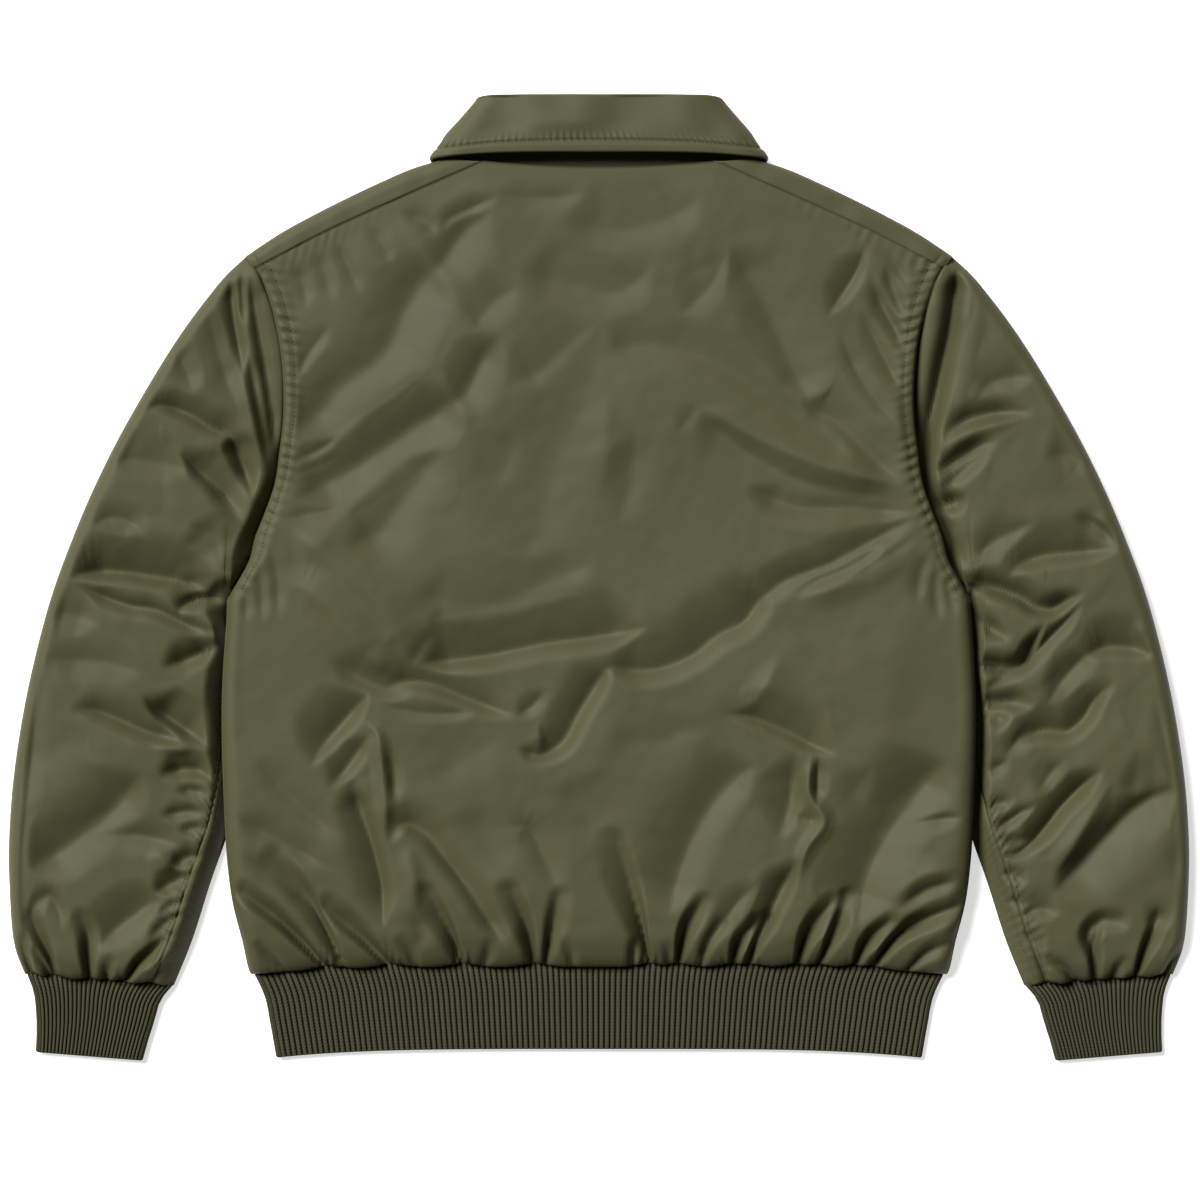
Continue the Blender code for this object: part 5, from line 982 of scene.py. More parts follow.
SLEEVE_CREASES = {
    "left": (
        # beside the armhole
        (7.5, 4.4, 4.4, ((-273, 244), (-267, 205), (-261, 170), (-256, 135), (-253, 105), (-252, 82))),
        (8.0, 5.5, 5, ((-288, 250), (-287, 225), (-284, 200), (-279, 172), (-276, 156))),
        (5.5, 3.6, 4, ((-277, 250), (-278, 228), (-277, 206), (-275, 190))),
        (5.5, 4, 4, ((-274, 182), (-269, 154), (-263, 122), (-258, 96), (-256, 80))),
        (-4.0, 5, 5, ((-279, 166), (-272, 136), (-266, 106), (-264, 92))),
        (4.0, 12, 8, ((-306, 214), (-298, 184), (-290, 156), (-282, 136))),
        # from the elbow's side to the underarm
        (9.5, 8, 4.4, ((-356, 131), (-344, 136), (-326, 132), (-305, 121), (-286, 112), (-276, 98))),
        (16.0, 9, 6, ((-292, 120), (-284, 104), (-276, 84), (-268, 64))),
        (13.0, 13, 4.4, ((-329, 103), (-316, 89), (-300, 74), (-286, 58), (-274, 46))),
        (5.0, 22, 9, ((-338, -6), (-316, -8), (-296, -13))),
        (4.0, 12, 12, ((-318, 46), (-304, 30), (-294, 12))),
        (5.0, 13, 8, ((-390, 90), (-362, 94), (-338, 90), (-314, 84))),
        (4.5, 7, 8, ((-398, 40), (-380, 49), (-364, 45), (-350, 34))),
        (15.0, 16, 4.4, ((-415, 1), (-398, 6), (-376, 6), (-350, 3), (-322, -2), (-292, -10))),
        (7.5, 5, 4.4, ((-410, -2), (-388, -12), (-366, -20), (-346, -23), (-332, -29), (-314, -37),
                       (-292, -41))),
        (15.0, 8, 4.4, ((-331, -30), (-322, -19), (-308, -14), (-290, -15), (-278, -22))),
        (12.0, 9, 5, ((-342, -69), (-326, -64), (-312, -58), (-292, -46))),
        (15.0, 14, 4.4, ((-356, -88), (-347, -99), (-334, -109), (-318, -120), (-300, -131))),
        (8.5, 9, 5, ((-414, -103), (-396, -101), (-378, -107), (-358, -116), (-336, -123),
                     (-314, -129))),
        (-4.0, 4, 4, ((-352, -127), (-334, -130), (-312, -132))),
        (11.0, 8, 4.4, ((-344, -154), (-328, -148), (-314, -148), (-298, -156))),
        (4.5, 12, 9, ((-436, -26), (-412, -27), (-388, -34))),
        (4.0, 10, 8, ((-436, -64), (-410, -62), (-376, -66), (-352, -74))),
        # short ones at the seam
        (6.0, 4, 3.4, ((-344, -185), (-326, -181), (-304, -180))),
        (5.0, 3.4, 3.4, ((-328, -197), (-316, -193), (-304, -192))),
        (5.0, 3.6, 3.4, ((-330, -166), (-316, -164), (-302, -166))),
        (8.5, 6, 4.4, ((-334, -225), (-322, -217), (-308, -213))),
        (9.0, 7, 5, ((-350, -246), (-334, -237), (-314, -226))),
        (6.5, 5, 3.6, ((-352, -282), (-338, -268), (-322, -257))),
        (4.5, 4, 3.4, ((-346, -264), (-334, -254), (-320, -248))),
        # along the forearm
        (10.5, 16, 11, ((-448, -228), (-428, -216), (-408, -202), (-388, -187), (-370, -168),
                        (-354, -148))),
        (5.5, 9, 7, ((-412, -206), (-380, -199), (-350, -200), (-320, -208))),
        (8.5, 14, 8, ((-396, -293), (-386, -281), (-370, -267), (-352, -254), (-332, -244))),
        (4.5, 5, 6, ((-446, -268), (-439, -252), (-428, -246), (-420, -258), (-418, -274))),
        (2.2, 6, 5, ((-437, -60), (-440, -110), (-444, -160), (-449, -210), (-449, -262),
                     (-443, -298))),
        (3.9, 8, 8, ((-334, 190), (-322, 164), (-314, 142))),
        (-3.4, 6, 8, ((-346, -206), (-340, -216), (-332, -228))),
    ),
    "right": (
        # beside the armhole
        (16.5, 5.4, 5.4, ((281, 252), (278, 225), (274, 198), (268, 170), (263, 145), (258, 118),
                          (255, 94), (256, 72))),
        (-3.0, 4, 4, ((285, 236), (283, 214), (279, 190))),
        (5.0, 9, 6, ((292, 140), (304, 152), (322, 158), (342, 158))),
        (9.5, 7, 4.4, ((265, 101), (273, 115), (286, 124), (304, 129), (322, 131), (340, 130))),
        (-4.0, 4, 4, ((268, 100), (286, 113), (306, 121), (334, 126))),
        (11.5, 6, 4.4, ((256, 78), (270, 88), (284, 97), (298, 105), (313, 109))),
        (7.0, 4.4, 4.4, ((260, 68), (276, 79), (290, 91), (306, 102))),
        (14.0, 8, 4.4, ((254, 57), (266, 57), (277, 60), (289, 65))),
        (8.0, 6, 6, ((264, 60), (270, 42), (279, 22), (290, 4))),
        # across the elbow
        (5.5, 9, 7, ((282, 8), (298, 22), (318, 36), (343, 47))),
        (11.0, 13, 4.4, ((314, 1), (328, 12), (346, 18), (372, 21), (408, 25))),
        (6.0, 6, 9, ((368, 54), (386, 44), (398, 34), (409, 22))),
        (-3.5, 4, 5, ((374, 54), (392, 46), (405, 34), (413, 18))),
        (15.0, 8, 4.4, ((274, 8), (290, -3), (310, -7), (326, -13), (342, -22), (354, -22),
                        (364, -16), (380, -9))),
        (13.0, 5, 5, ((284, -12), (296, -30), (306, -38), (321, -47))),
        (15.0, 6, 4.4, ((282, -62), (302, -66), (320, -68), (332, -64), (338, -50), (348, -32))),
        (7.5, 4.4, 4.4, ((292, -86), (316, -75), (336, -62), (348, -48), (362, -34), (378, -16))),
        (11.0, 12, 4.4, ((374, -64), (390, -54), (412, -53), (438, -59))),
        (7.0, 8, 8, ((348, -98), (358, -82), (372, -66), (386, -50))),
        (-3.5, 5, 5, ((416, -30), (424, -44), (434, -60))),
        (12.5, 9, 4.4, ((284, -96), (304, -97), (324, -96), (343, -100))),
        (9.0, 7, 5, ((292, -104), (308, -107), (322, -110))),
        (11.5, 12, 4.4, ((319, -133), (330, -123), (346, -118), (366, -118), (378, -108),
                         (388, -92), (404, -78))),
        (4.0, 6, 6, ((342, -106), (330, -120), (314, -138))),
        # along the forearm
        (13.5, 9, 4.4, ((322, -216), (336, -206), (348, -193), (358, -180), (370, -167),
                        (382, -156), (394, -145))),
        (11.0, 8, 15, ((352, -245), (366, -231), (382, -214), (398, -197), (414, -181), (434, -168),
                       (458, -160))),
        (-4.0, 9, 5, ((352, -232), (364, -214), (377, -192), (390, -170), (402, -152))),
        (5.0, 14, 10, ((402, -158), (424, -160), (448, -160))),
        (4.5, 7, 7, ((340, -168), (352, -150), (364, -138))),
        (5.5, 8, 5, ((326, -264), (342, -256), (360, -260))),
        (4.5, 5, 5, ((330, -270), (338, -280), (348, -288))),
        (4.0, 7, 7, ((424, -268), (436, -262), (446, -270))),
        (2.2, 6, 6, ((432, -90), (442, -130), (450, -190), (452, -250))),
        # short ones at the seam
        (6.0, 4, 3.4, ((300, -178), (312, -174), (324, -173))),
        (6.0, 4, 3.6, ((304, -194), (318, -188), (330, -180), (342, -175))),
        (6.5, 3.6, 3.6, ((308, -200), (322, -202), (334, -206), (324, -213), (312, -213))),
        (5.0, 3.6, 3.4, ((312, -226), (324, -230), (332, -238))),
        (4.5, 3.6, 3.4, ((316, -250), (326, -250), (336, -256))),
        (5.0, 4, 3.6, ((298, -150), (310, -146), (320, -140))),
        (4.2, 10, 8, ((330, 196), (344, 172), (352, 150))),
        (4.0, 12, 9, ((344, 96), (372, 96), (388, 82))),
    ),
}

# %% sleeve plan
def sleeve_plan(edge, dist, ratio, share):
    """Grid in plan.  edge is the first row, on the armhole; further down, a column lies at dist
    millimetres from the inner edge plus ratio of the width that is left.  The rows just below
    the armhole bow away from it."""
    outer, inner = curve(SLEEVE_OUTER, share), curve(SLEEVE_INNER, share)
    across = outer - inner[:, :2]
    width = np.linalg.norm(across, axis=1)
    run = unit_of(np.gradient(inner[:, :2], axis=0))
    lean = np.abs(run[:, 0] * across[:, 1] - run[:, 1] * across[:, 0]) / width
    stretched = dist[None, :] / np.maximum(lean, 0.4)[:, None] / width[:, None]
    target = stretched + ratio * (1 - stretched)
    corner = np.array(SLEEVE_INNER[0][1:3])
    start = np.array(SLEEVE_OUTER[0][1:]) - corner
    part = (edge - corner) @ start / (start @ start)
    bow = edge - corner - part[:, None] * start
    blend = ramp(share, 0, 0.3)[:, None]
    place = (1 - blend) * part + blend * target
    fade = (1 - share[:, None, None]) ** 3
    away = np.array([start[1], -start[0]]) / np.linalg.norm(start)
    push = ARM_PUSH * hump(share, ARM_PUSH_AT)
    grid = inner[:, None, :2] + across[:, None, :] * place[..., None] + fade * bow
    return grid + (push[:, None] * 4 * place * (1 - place))[..., None] * away


# %% sleeve heights
def sleeve_heights(grid, share, arm_y, name, sign, over_top):
    """Upper face, or underside where over_top is False, at each place of a grid.  The tables of
    the inner edge are read at the share that lies beside the place."""
    x, y = grid[..., 0], grid[..., 1]
    fine = np.linspace(0, 1, 90)
    inner = curve(SLEEVE_INNER, fine)[:, :2]
    inner_gap, _, place = nearest_on(inner, x, y)
    run = run_of(inner)
    beside = np.interp(place, run / run[-1], fine)
    outer_gap = nearest_on(curve(SLEEVE_OUTER, fine), x, y)[0]
    arm_gap = np.linalg.norm(grid - grid[:1], axis=-1)
    low = curve(SLEEVE_INNER, beside)[..., 2]
    loft, middle = curve(SLEEVE_LOFT, share)[:, :1], curve(SLEEVE_LOFT, share)[:, 1:]
    swollen = ramp(share, 0.02, 0.1)[:, None] * (1 - ramp(share, 0.9, 1)[:, None])
    rim_z = middle + RIM_LIFT * swollen
    edge_turn = np.clip(inner_gap / INNER_TURN, 0, 1) ** 0.5
    if over_top:
        rise_width = curve(SLEEVE_RISE[name], beside)
        flat = np.clip(curve(SLEEVE_FLAT[name], beside), 0, None)
        rise = 1 - (1 - np.clip((inner_gap - flat) / rise_width, 0, 1)) ** 1.4
        plain = low + (loft - low) * rise
        head = np.broadcast_to(curve(SLEEVE_HEAD, arm_y), plain.shape)
        stay, reach = np.moveaxis(curve(HEAD_REACH[name], arm_y), -1, 0)
        climb = 1 - (1 - np.clip((arm_gap - np.clip(stay, 0, None)) / reach, 0, 1)) ** 1.5
        plain = head + (plain - head) * climb
        drawn = np.clip(plain - GATHER_FLOOR, 0, None) * GATHER_SHARE
        plain = plain - gathers(sign * x, y, CUFF_GATHERS[name]) * drawn
        clear = (ramp(inner_gap, flat, flat + 0.9 * rise_width) * ramp(outer_gap, 2, 15)
                 * ramp(arm_gap, 0, curve(FOLD_REACH[name], arm_y)) * ramp(loft, 9.0, 18))
        plain = plain - clear * relief(sign * x, y, SLEEVE_CREASES[name])
        plain = plain + clear * (0.8 * unevenness(sign * x, y, 31 + sign, shortest=60, longest=200)
                                 + 0.12 * unevenness(sign * x, y, 41 + sign, shortest=14, longest=40))
        below = FLOOR_GAP - np.minimum(plain, FLOOR_GAP)
        plain = np.where(plain < FLOOR_GAP, FLOOR_GAP - 1 + 1 / (1 + below), plain)
        top = rim_z + (plain - rim_z) * arc(outer_gap, SLEEVE_ROLL)
        return low + (top - low) * edge_turn
    reach = UNDER_LIFT + UNDER_LIFT_MORE * np.clip(low - 3.4, 0, None)
    under = low * np.clip(1 - inner_gap / reach, 0, 1) ** 2
    arm_under = np.minimum(curve(ARM_EDGE, arm_y)[..., 2], curve(SLEEVE_HEAD, arm_y) - 2.5)
    under = np.maximum(under, side_lift(arm_under, arm_gap))
    under = rim_z - (rim_z - under) * arc(outer_gap, 1.3 * SLEEVE_ROLL)
    return low + (under - low) * edge_turn


# %% faces of a sleeve
SLEEVE_SHARES = np.concatenate([np.linspace(0, 0.06, 18)[:-1], np.linspace(0.06, 0.94, 236),
                                np.linspace(0.94, 1, 25)[1:]])
TOP_COLUMNS, LOW_COLUMNS = 86, 50
CUFF_SCALLOP, CUFF_OVERHANG, CUFF_OVERHANG_AT = 2.4, 2.8, 5.0
STITCH_LINES = (4.6, 8.0)               # on the larger and on the smaller piece, from their seam
# the smaller piece's columns: distances from the inner edge
UNDER_COLUMNS = (SEAM_INSET - SEAM / 2, 13, 10.5, 8, 6, 4, 2.2, 0.9, 0.0)


def swollen_end(grid, share, name, sign):
    """Scallops over the cuff: between two gathers the last rows move down the sleeve, and the
    ones just before the seam hang over it."""
    starts = np.array([row[3][0][0] for row in CUFF_GATHERS[name]], float)
    swell = np.clip(to_nearest(sign * grid[-1, :, 0], starts) / 12, 0, 1) ** 0.5 - 0.5
    down = unit_of(grid[-1] - grid[-12])
    above = np.linalg.norm(grid - grid[-1:], axis=-1)
    puff = CUFF_OVERHANG * (0.7 + swell) * hump(above, CUFF_OVERHANG_AT)
    return grid + (ramp(share, 0.95, 1)[:, None] * CUFF_SCALLOP * swell + puff)[..., None] * down


def sleeve_face(name, sign, edge, dist, ratio, over_top):
    """Grid of the upper face, with its scallops over the cuff, or of the underside."""
    plan = sleeve_plan(edge, dist, ratio, SLEEVE_SHARES)
    z = sleeve_heights(plan, SLEEVE_SHARES, edge[:, 1], name, sign, over_top)
    if over_top:
        plan = swollen_end(plan, SLEEVE_SHARES, name, sign)
    return np.concatenate([plan, z[..., None]], axis=-1)


def armhole_ring(crowd):
    """Points along the armhole, from the lower seam to the shoulder's tip."""
    y = SEAM / 2 + (SHOULDER_TIP[1] - SEAM / 2) * crowd
    return np.column_stack([half_width(y) - HEAD_TUCK, y])


# %% a whole sleeve
def sleeve(name, sign):
    """The larger piece runs from the seam over the outer edge and under to the lower seam; the
    smaller one wraps the inner edge, and its first column lies tucked under the larger one."""
    crowd = 1 - (1 - np.linspace(0, 1, TOP_COLUMNS)) ** 1.5
    fewer = 1 - (1 - np.linspace(0, 1, LOW_COLUMNS)) ** 1.8
    inset = SEAM_INSET + SEAM / 2
    upper = sleeve_face(name, sign, armhole_ring(crowd), np.full(TOP_COLUMNS, inset),
                        crowd[None, :], True)
    under = sleeve_face(name, sign, armhole_ring(fewer), np.full(LOW_COLUMNS, inset),
                        fewer[None, :], False)
    seam_gap = np.linalg.norm(upper - upper[:, :1], axis=-1)
    along = SLEEVE_LENGTH * SLEEVE_SHARES[:, None]
    shown = ramp(SLEEVE_SHARES, 0.02, 0.1)[:, None] * (1 - ramp(SLEEVE_SHARES, 0.96, 1))[:, None]
    upper[..., 2] += shown * (0.5 * puckers(along, seam_gap - 3, 51 + sign, pitch=10.0, reach=9.0)
                              - 0.8 * bell(seam_gap, 1.2) + 0.5 * bell(seam_gap - 2.4, 1.8)
                              - 0.5 * bell(seam_gap - STITCH_LINES[0], 1.2))
    middle = 0.5 * (upper[:, -1] + under[:, -1])
    whole = np.concatenate([upper[:, :-1], middle[:, None], under[:, -2::-1]], axis=1)
    gap = np.array(UNDER_COLUMNS)
    small_y = UNDERARM_Y + (-SEAM / 2 - UNDERARM_Y) * gap / gap[0]
    small_x = half_width(np.maximum(small_y, UNDERARM_Y + 0.01)) - HEAD_TUCK
    small_ring, zero = np.column_stack([small_x, small_y]), np.zeros((1, len(gap)))
    inner_up, inner_low = (sleeve_face(name, sign, small_ring, gap, zero, over_top)
                           for over_top in (True, False))
    inner_up[..., 2] += shown * (0.35 * puckers(along, gap - 9, 61 + sign, pitch=10.0, reach=7.0)
                                 - 0.8 * bell(gap - gap[0], 1.2)
                                 - 0.45 * bell(gap - STITCH_LINES[1], 1.3))
    inner_up[:, -1] = 0.5 * (inner_up[:, -1] + inner_low[:, -1])
    tuck = inner_up[:, :1] - inner_up[:, 1:2]
    tuck_length = np.linalg.norm(tuck[..., :2], axis=-1, keepdims=True)
    tuck[..., :2] *= SEAM_TUCK / np.maximum(tuck_length, 1e-6)
    tuck[..., 2] = -1.2 * WALL
    narrow = np.concatenate([inner_up[:, :1] + tuck, inner_up, inner_low[:, -2::-1]], axis=1)
    pieces = []
    for label, grid in (("upper", whole), ("under", narrow)):
        placed = grid * np.array([sign, 1.0, 1.0])
        faces = turned([grid_quads(*grid.shape[:2])], (sign > 0) == (label == "upper"))
        piece = lay("sleeve_" + name + "_" + label + "_shell", placed, faces, nylon)
        thicken(piece)
        pieces.append((piece, placed))
    return pieces


sleeves = {}
for name, sign in SIDES:
    sleeves[name] = sleeve(name, sign)
    print("sleeve", name, [len(piece.data.polygons) for piece, _ in sleeves[name]], "faces")

# %% [markdown]
# ## Hem band and cuffs
#
# Rib knit is folded double along its lower edge, so that edge is round and the two layers lie on
# each other.  A rib is a rounded ridge beside a narrow groove.  The section of the band runs down
# its outer face, round the fold and up again inside, and it is carried along the hem.

# %% the section of a doubled band
RIB_COUNT, CUFF_RIBS = 118, 27
BAND_TOP, BAND_MID, RIB_HEIGHT = 8.4, 4.15, 2.0
HEM_WALL, CUFF_WALL = 3.2, 3.5
# columns: share of the band's depth, half width
HEM_BAND = ((0, 269.4), (0.12, 265.4), (0.25, 261.8), (0.6, 257.0), (1, 252.4))
HEM_BOTTOM_Y, HEM_BOTTOM_CORNER_Y = -366.2, -373.0
# columns: share of the cuff's depth, outer x, y, inner x, y
CUFF_EDGES = ((0, 447.4, -307.4, 333.0, -316.2), (0.2, 442.6, -320, 342.0, -327),
              (0.5, 440.2, -339, 347.8, -345), (0.8, 440.0, -357, 353.2, -362),
              (1, 440.6, -368.6, 356.8, -375.4))
EACH_RIB, LOOP_HEIGHT = 8, 2.6          # columns in a rib, height of a row of loops
HEM_SUNK, CUFF_SUNK = 2.6, 2.4          # how far the band's first rows lie under the gathered cloth
CUFF_DEPTH = 58


# %% ribs and doubled layers
def rib_profile(place):
    """Height from 0 in the groove to 1 on the crest: 1 - |2f - 1|^3.4 with f the place in a rib."""
    return 1 - np.abs(2 * (place % 1.0) - 1) ** 3.4


def half_turn(count):
    """Angles from 0 to 180 degrees at equal steps."""
    return np.radians(np.linspace(0, 180, count))


def doubled(outer, out_dir, wall):
    """Grid (depth, columns) of an outer face, made into a doubled layer: down the face, round
    its lower edge in a half circle, and up again one wall thickness inside."""
    down = unit_of(outer[-1] - outer[-2])
    radius = wall / 2
    last = outer[-1] - down * radius
    turn = [last + down * radius * np.sin(a) - out_dir * radius * (1 - np.cos(a))
            for a in half_turn(9)]
    inside = (outer - out_dir * wall)[::-1]
    return np.concatenate([outer[:-1], np.array(turn), inside[1:]])


def knit_uv(grid, ribs, column):
    """u counts ribs across and v counts rows of loops down a column, for the rib knit."""
    loops = run_of(grid[:, column])[:, None] / LOOP_HEIGHT
    return np.stack([np.broadcast_to(ribs, grid.shape[:2]),
                     np.broadcast_to(loops, grid.shape[:2])], axis=-1)


def closed_band(name, grid, uv, joined, mirrored):
    """Sections as one tube.  Where it is joined its last section goes on to its first, otherwise
    its two ends get one face each."""
    rows, columns = grid.shape[:2]
    faces = tube_faces(columns, rows)
    if joined:
        quads = grid_quads(columns + 1, rows, wrap=True)
        faces = [np.where(quads >= columns * rows, quads - columns * rows, quads)]
    points, uv = grid.transpose(1, 0, 2), uv.transpose(1, 0, 2)
    return lay(name, points, turned(faces, mirrored), rib_knit, uv)


# %% the hem band
def band_y(x, part, width):
    """From the hem seam, at part 0, to the lower edge, which sags towards its corners."""
    start = hem_line(x * HEM_CORNER[0] / width) - SEAM
    end = HEM_BOTTOM_Y + (HEM_BOTTOM_CORNER_Y - HEM_BOTTOM_Y) * (np.abs(x) / width) ** 4
    return start + (end - start) * part


def hem_band():
    """Columns run from the left zip edge along the front, round the side, over the back's ribs
    and back along the other front."""
    depth = np.array([-0.02, 0.02, 0.06, 0.12, 0.2, 0.3, 0.42, 0.55, 0.7, 0.85, 1])
    place = np.linspace(0, RIB_COUNT, RIB_COUNT * EACH_RIB + 1)
    crest = rib_profile(place)
    turn = half_turn(19)[1:-1]
    front = np.linspace(1, 0, 70)
    rows = []
    for part, width in zip(depth, curve(HEM_BAND, np.clip(depth, 0, 1))):
        sunk = HEM_SUNK * (1 - ramp(part, 0.0, 0.09))
        x_back = (2 * place / RIB_COUNT - 1) * (width - BAND_MID)
        wave = 0.25 * np.sin(x_back / 31.0) * ramp(part, 0.2, 1.0)
        back_row = np.column_stack([x_back, band_y(x_back, part, width),
                                    BAND_TOP - sunk + wave + RIB_HEIGHT * (crest - 1)])
        x_turn = width - BAND_MID + BAND_MID * np.sin(turn)
        right = np.column_stack([x_turn, band_y(x_turn, part, width),
                                 BAND_MID + BAND_MID * np.cos(turn)])
        x_front = FRONT_EDGE + (width - BAND_MID - FRONT_EDGE) * front
        flat = np.column_stack([x_front, band_y(x_front, part, width), np.zeros(len(x_front))])
        half = np.concatenate([right, flat])
        rows.append(np.concatenate([half[::-1] * [-1, 1, 1], back_row, half]))
    down, up = np.tile([0.0, 0.0, -1.0], (len(front), 1)), np.tile([0.0, 0.0, 1.0], (len(place), 1))
    round_side = np.column_stack([np.sin(turn), 0 * turn, np.cos(turn)])
    sides = np.concatenate([down, round_side[::-1] * [-1, 1, 1], up, round_side, down])
    first = len(front) + len(turn)
    ribs = np.concatenate([-np.arange(first)[::-1] * 0.5 - 0.5, place,
                           RIB_COUNT + np.arange(1, first + 1) * 0.5])
    grid = doubled(np.array(rows), sides, HEM_WALL)
    return grid, knit_uv(grid, ribs, first + len(place) // 2)


band_grid, band_uv = hem_band()
hem = closed_band("hem_rib_knit", band_grid, band_uv, joined=False, mirrored=False)
print("hem band:", len(hem.data.polygons), "faces,", RIB_COUNT, "ribs across the back")

# %% the cuffs
def cuff(name, sign):
    """A flattened tube: ribs over the top, round at both sides, flat underneath."""
    depth = np.array([-0.03, 0.03, 0.08, 0.16, 0.28, 0.42, 0.58, 0.75, 0.9, 1])
    place = np.linspace(0, CUFF_RIBS, CUFF_RIBS * EACH_RIB + 1)
    crest = rib_profile(place)
    turn = half_turn(13)[1:-1]
    plain = np.linspace(1, 0, 60)
    rows = []
    for part, ends in zip(depth, curve(CUFF_EDGES, np.clip(depth, 0, 1))):
        far, near = ends[:2], ends[2:]
        width = np.linalg.norm(far - near)
        unit = (far - near) / width
        shift = np.array([unit[1], -unit[0]]) * CUFF_DEPTH * min(part, 0)
        sunk = CUFF_SUNK * (1 - ramp(part, 0.0, 0.11))
        span = np.concatenate([BAND_MID + (width - 2 * BAND_MID) * place / CUFF_RIBS,
                               width - BAND_MID + BAND_MID * np.sin(turn),
                               BAND_MID + (width - 2 * BAND_MID) * plain,
                               BAND_MID - BAND_MID * np.sin(turn)])
        z = np.concatenate([BAND_TOP - sunk + RIB_HEIGHT * (crest - 1),
                            BAND_MID + BAND_MID * np.cos(turn), np.zeros(len(plain)),
                            BAND_MID - BAND_MID * np.cos(turn)])
        rows.append(np.column_stack([near + shift + span[:, None] * unit, z]))
    outer = np.array(rows)
    across = outer[-1, len(place) - 1] - outer[-1, 0]
    unit, up = across / np.linalg.norm(across), np.array([0.0, 0.0, 1.0])
    round_side = np.sin(turn)[:, None] * unit + np.cos(turn)[:, None] * up
    sides = np.concatenate([np.tile(up, (len(place), 1)), round_side,
                            np.tile(-up, (len(plain), 1)), -round_side])
    grid = doubled(outer, sides, CUFF_WALL)
    ribs = np.concatenate([place, CUFF_RIBS + np.arange(1, len(sides) - len(place) + 1) * 0.5])
    uv = knit_uv(grid, ribs, column=80)
    grid = grid * np.array([sign, 1.0, 1.0])
    return closed_band("cuff_" + name + "_knit", grid, uv, joined=True, mirrored=sign < 0)


cuffs = {name: cuff(name, sign) for name, sign in SIDES}
print("cuffs:", [len(piece.data.polygons) for piece in cuffs.values()], "faces")

# %% [markdown]
# ## The collar
#
# The collar leaf folds over the stand, lies on the back and ends in a turned and topstitched edge.
# Its section is a loop: out along the upper face, round the edge, back along the lower face, and
# round the fold at the top.  The same loop, thinner, makes the stand.

# %% collar tables
LEAF_WALL, STAND_WALL, COLLAR_STITCH = 3.4, 2.4, 8.0
# half of the leaf: share of its length, fold x, y, z, lower edge x, y, z
LEAF = ((0.00, 0, 377.4, 19.0, 0, 335.2, 24.2), (0.16, 34, 377.5, 19.0, 46, 335.0, 24.2),
        (0.32, 68, 377.4, 18.6, 92, 333.6, 23.6), (0.42, 87, 377.0, 15.6, 120, 331.2, 21.4),
        (0.47, 93.6, 375.6, 11.2, 128.2, 330.4, 15.6), (0.50, 95.6, 373.6, 7.6, 130.6, 329.8, 10.0),
        (0.53, 93.6, 370.6, 3.6, 129.0, 326.0, 3.2), (0.60, 84, 360.0, 1.75, 124, 306.0, 1.75),
        (0.78, 48, 328.0, 1.75, 104, 268.0, 1.75), (1.00, 5, 298.0, 1.75, 74, 240.0, 1.75))
# half of the stand: share of its length, neck seam x, y, z, top x, y, z
STAND = ((0.00, 0, 323.2, 4.6, 0, 373.6, 9.6), (0.16, 30.5, 323.7, 4.6, 34, 373.8, 9.6),
         (0.32, 64, 325.5, 4.8, 66, 373.6, 9.6), (0.42, 91.6, 327.8, 5.6, 82, 373.0, 9.2),
         (0.47, 110, 328.8, 9.0, 87.6, 371.6, 8.6), (0.50, 123.8, 330.8, 9.8, 89.4, 369.4, 7.6),
         (0.515, 121.0, 329.0, 8.0, 88.4, 367.7, 7.0), (0.53, 118.6, 324.2, 6.6, 87.4, 366.0, 6.4),
         (0.56, 112.2, 311.0, 5.8, 84, 361.0, 5.8), (0.60, 103.0, 295.2, 5.8, 78, 354.0, 5.8),
         (0.68, 81.6, 281.2, 5.8, 63, 339.0, 5.8), (0.78, 59.4, 267.2, 5.8, 46, 322.4, 5.8),
         (0.89, 31.4, 262.0, 5.8, 25, 307.4, 5.8), (1.00, 4.4, 257.0, 5.8, 5, 294.4, 5.8))


# %% from a table to a piece of the collar
def collar_band(name, table, wall, depths, shape):
    """Middle surface M(s, d) between the table's two lines, walls at M +- n t / 2, round edges.
    shape adds to the outer face what stitching does to it."""
    s = np.concatenate([np.linspace(0, 0.42, 75), np.linspace(0.42, 0.56, 45)[1:],
                        np.linspace(0.56, 1, 40)[1:]])
    rows = curve(table, s)
    rows[:, 2::3] = np.maximum(rows[:, 2::3], table[-1][3])
    mirror = np.array([-1.0, 1.0, 1.0])
    first = np.concatenate([rows[::-1, :3] * mirror, rows[1:, :3]])
    second = np.concatenate([rows[::-1, 3:] * mirror, rows[1:, 3:]])
    d = np.asarray(depths)[:, None, None]
    grid = first * (1 - d) + second * d
    normal = normals_of(grid)
    if normal[0, normal.shape[1] // 2, 2] < 0:
        normal = -normal
    span = np.linalg.norm(second - first, axis=1)
    relief_z = shape(run_of(second)[None, :], span[None, :] * (1 - d[..., 0]), grid)
    outer = grid + normal * (wall / 2 + relief_z[..., None])
    inner = grid - normal * wall / 2

    def round_edge(row, beside, side):
        """Half a circle round one edge of the wall, from its one face to the other."""
        out = unit_of(grid[row] - grid[beside]) * wall / 2
        return np.array([grid[row] + out * np.sin(a) + side * (normal[row] * wall / 2 * np.cos(a))
                         for a in half_turn(9)[1:-1]])
    loop = np.concatenate([outer, round_edge(-1, -2, 1), inner[::-1], round_edge(0, 1, -1)])
    count, columns = loop.shape[:2]
    piece = lay(name, loop.transpose(1, 0, 2), tube_faces(columns, count), nylon)
    return piece, outer, normal


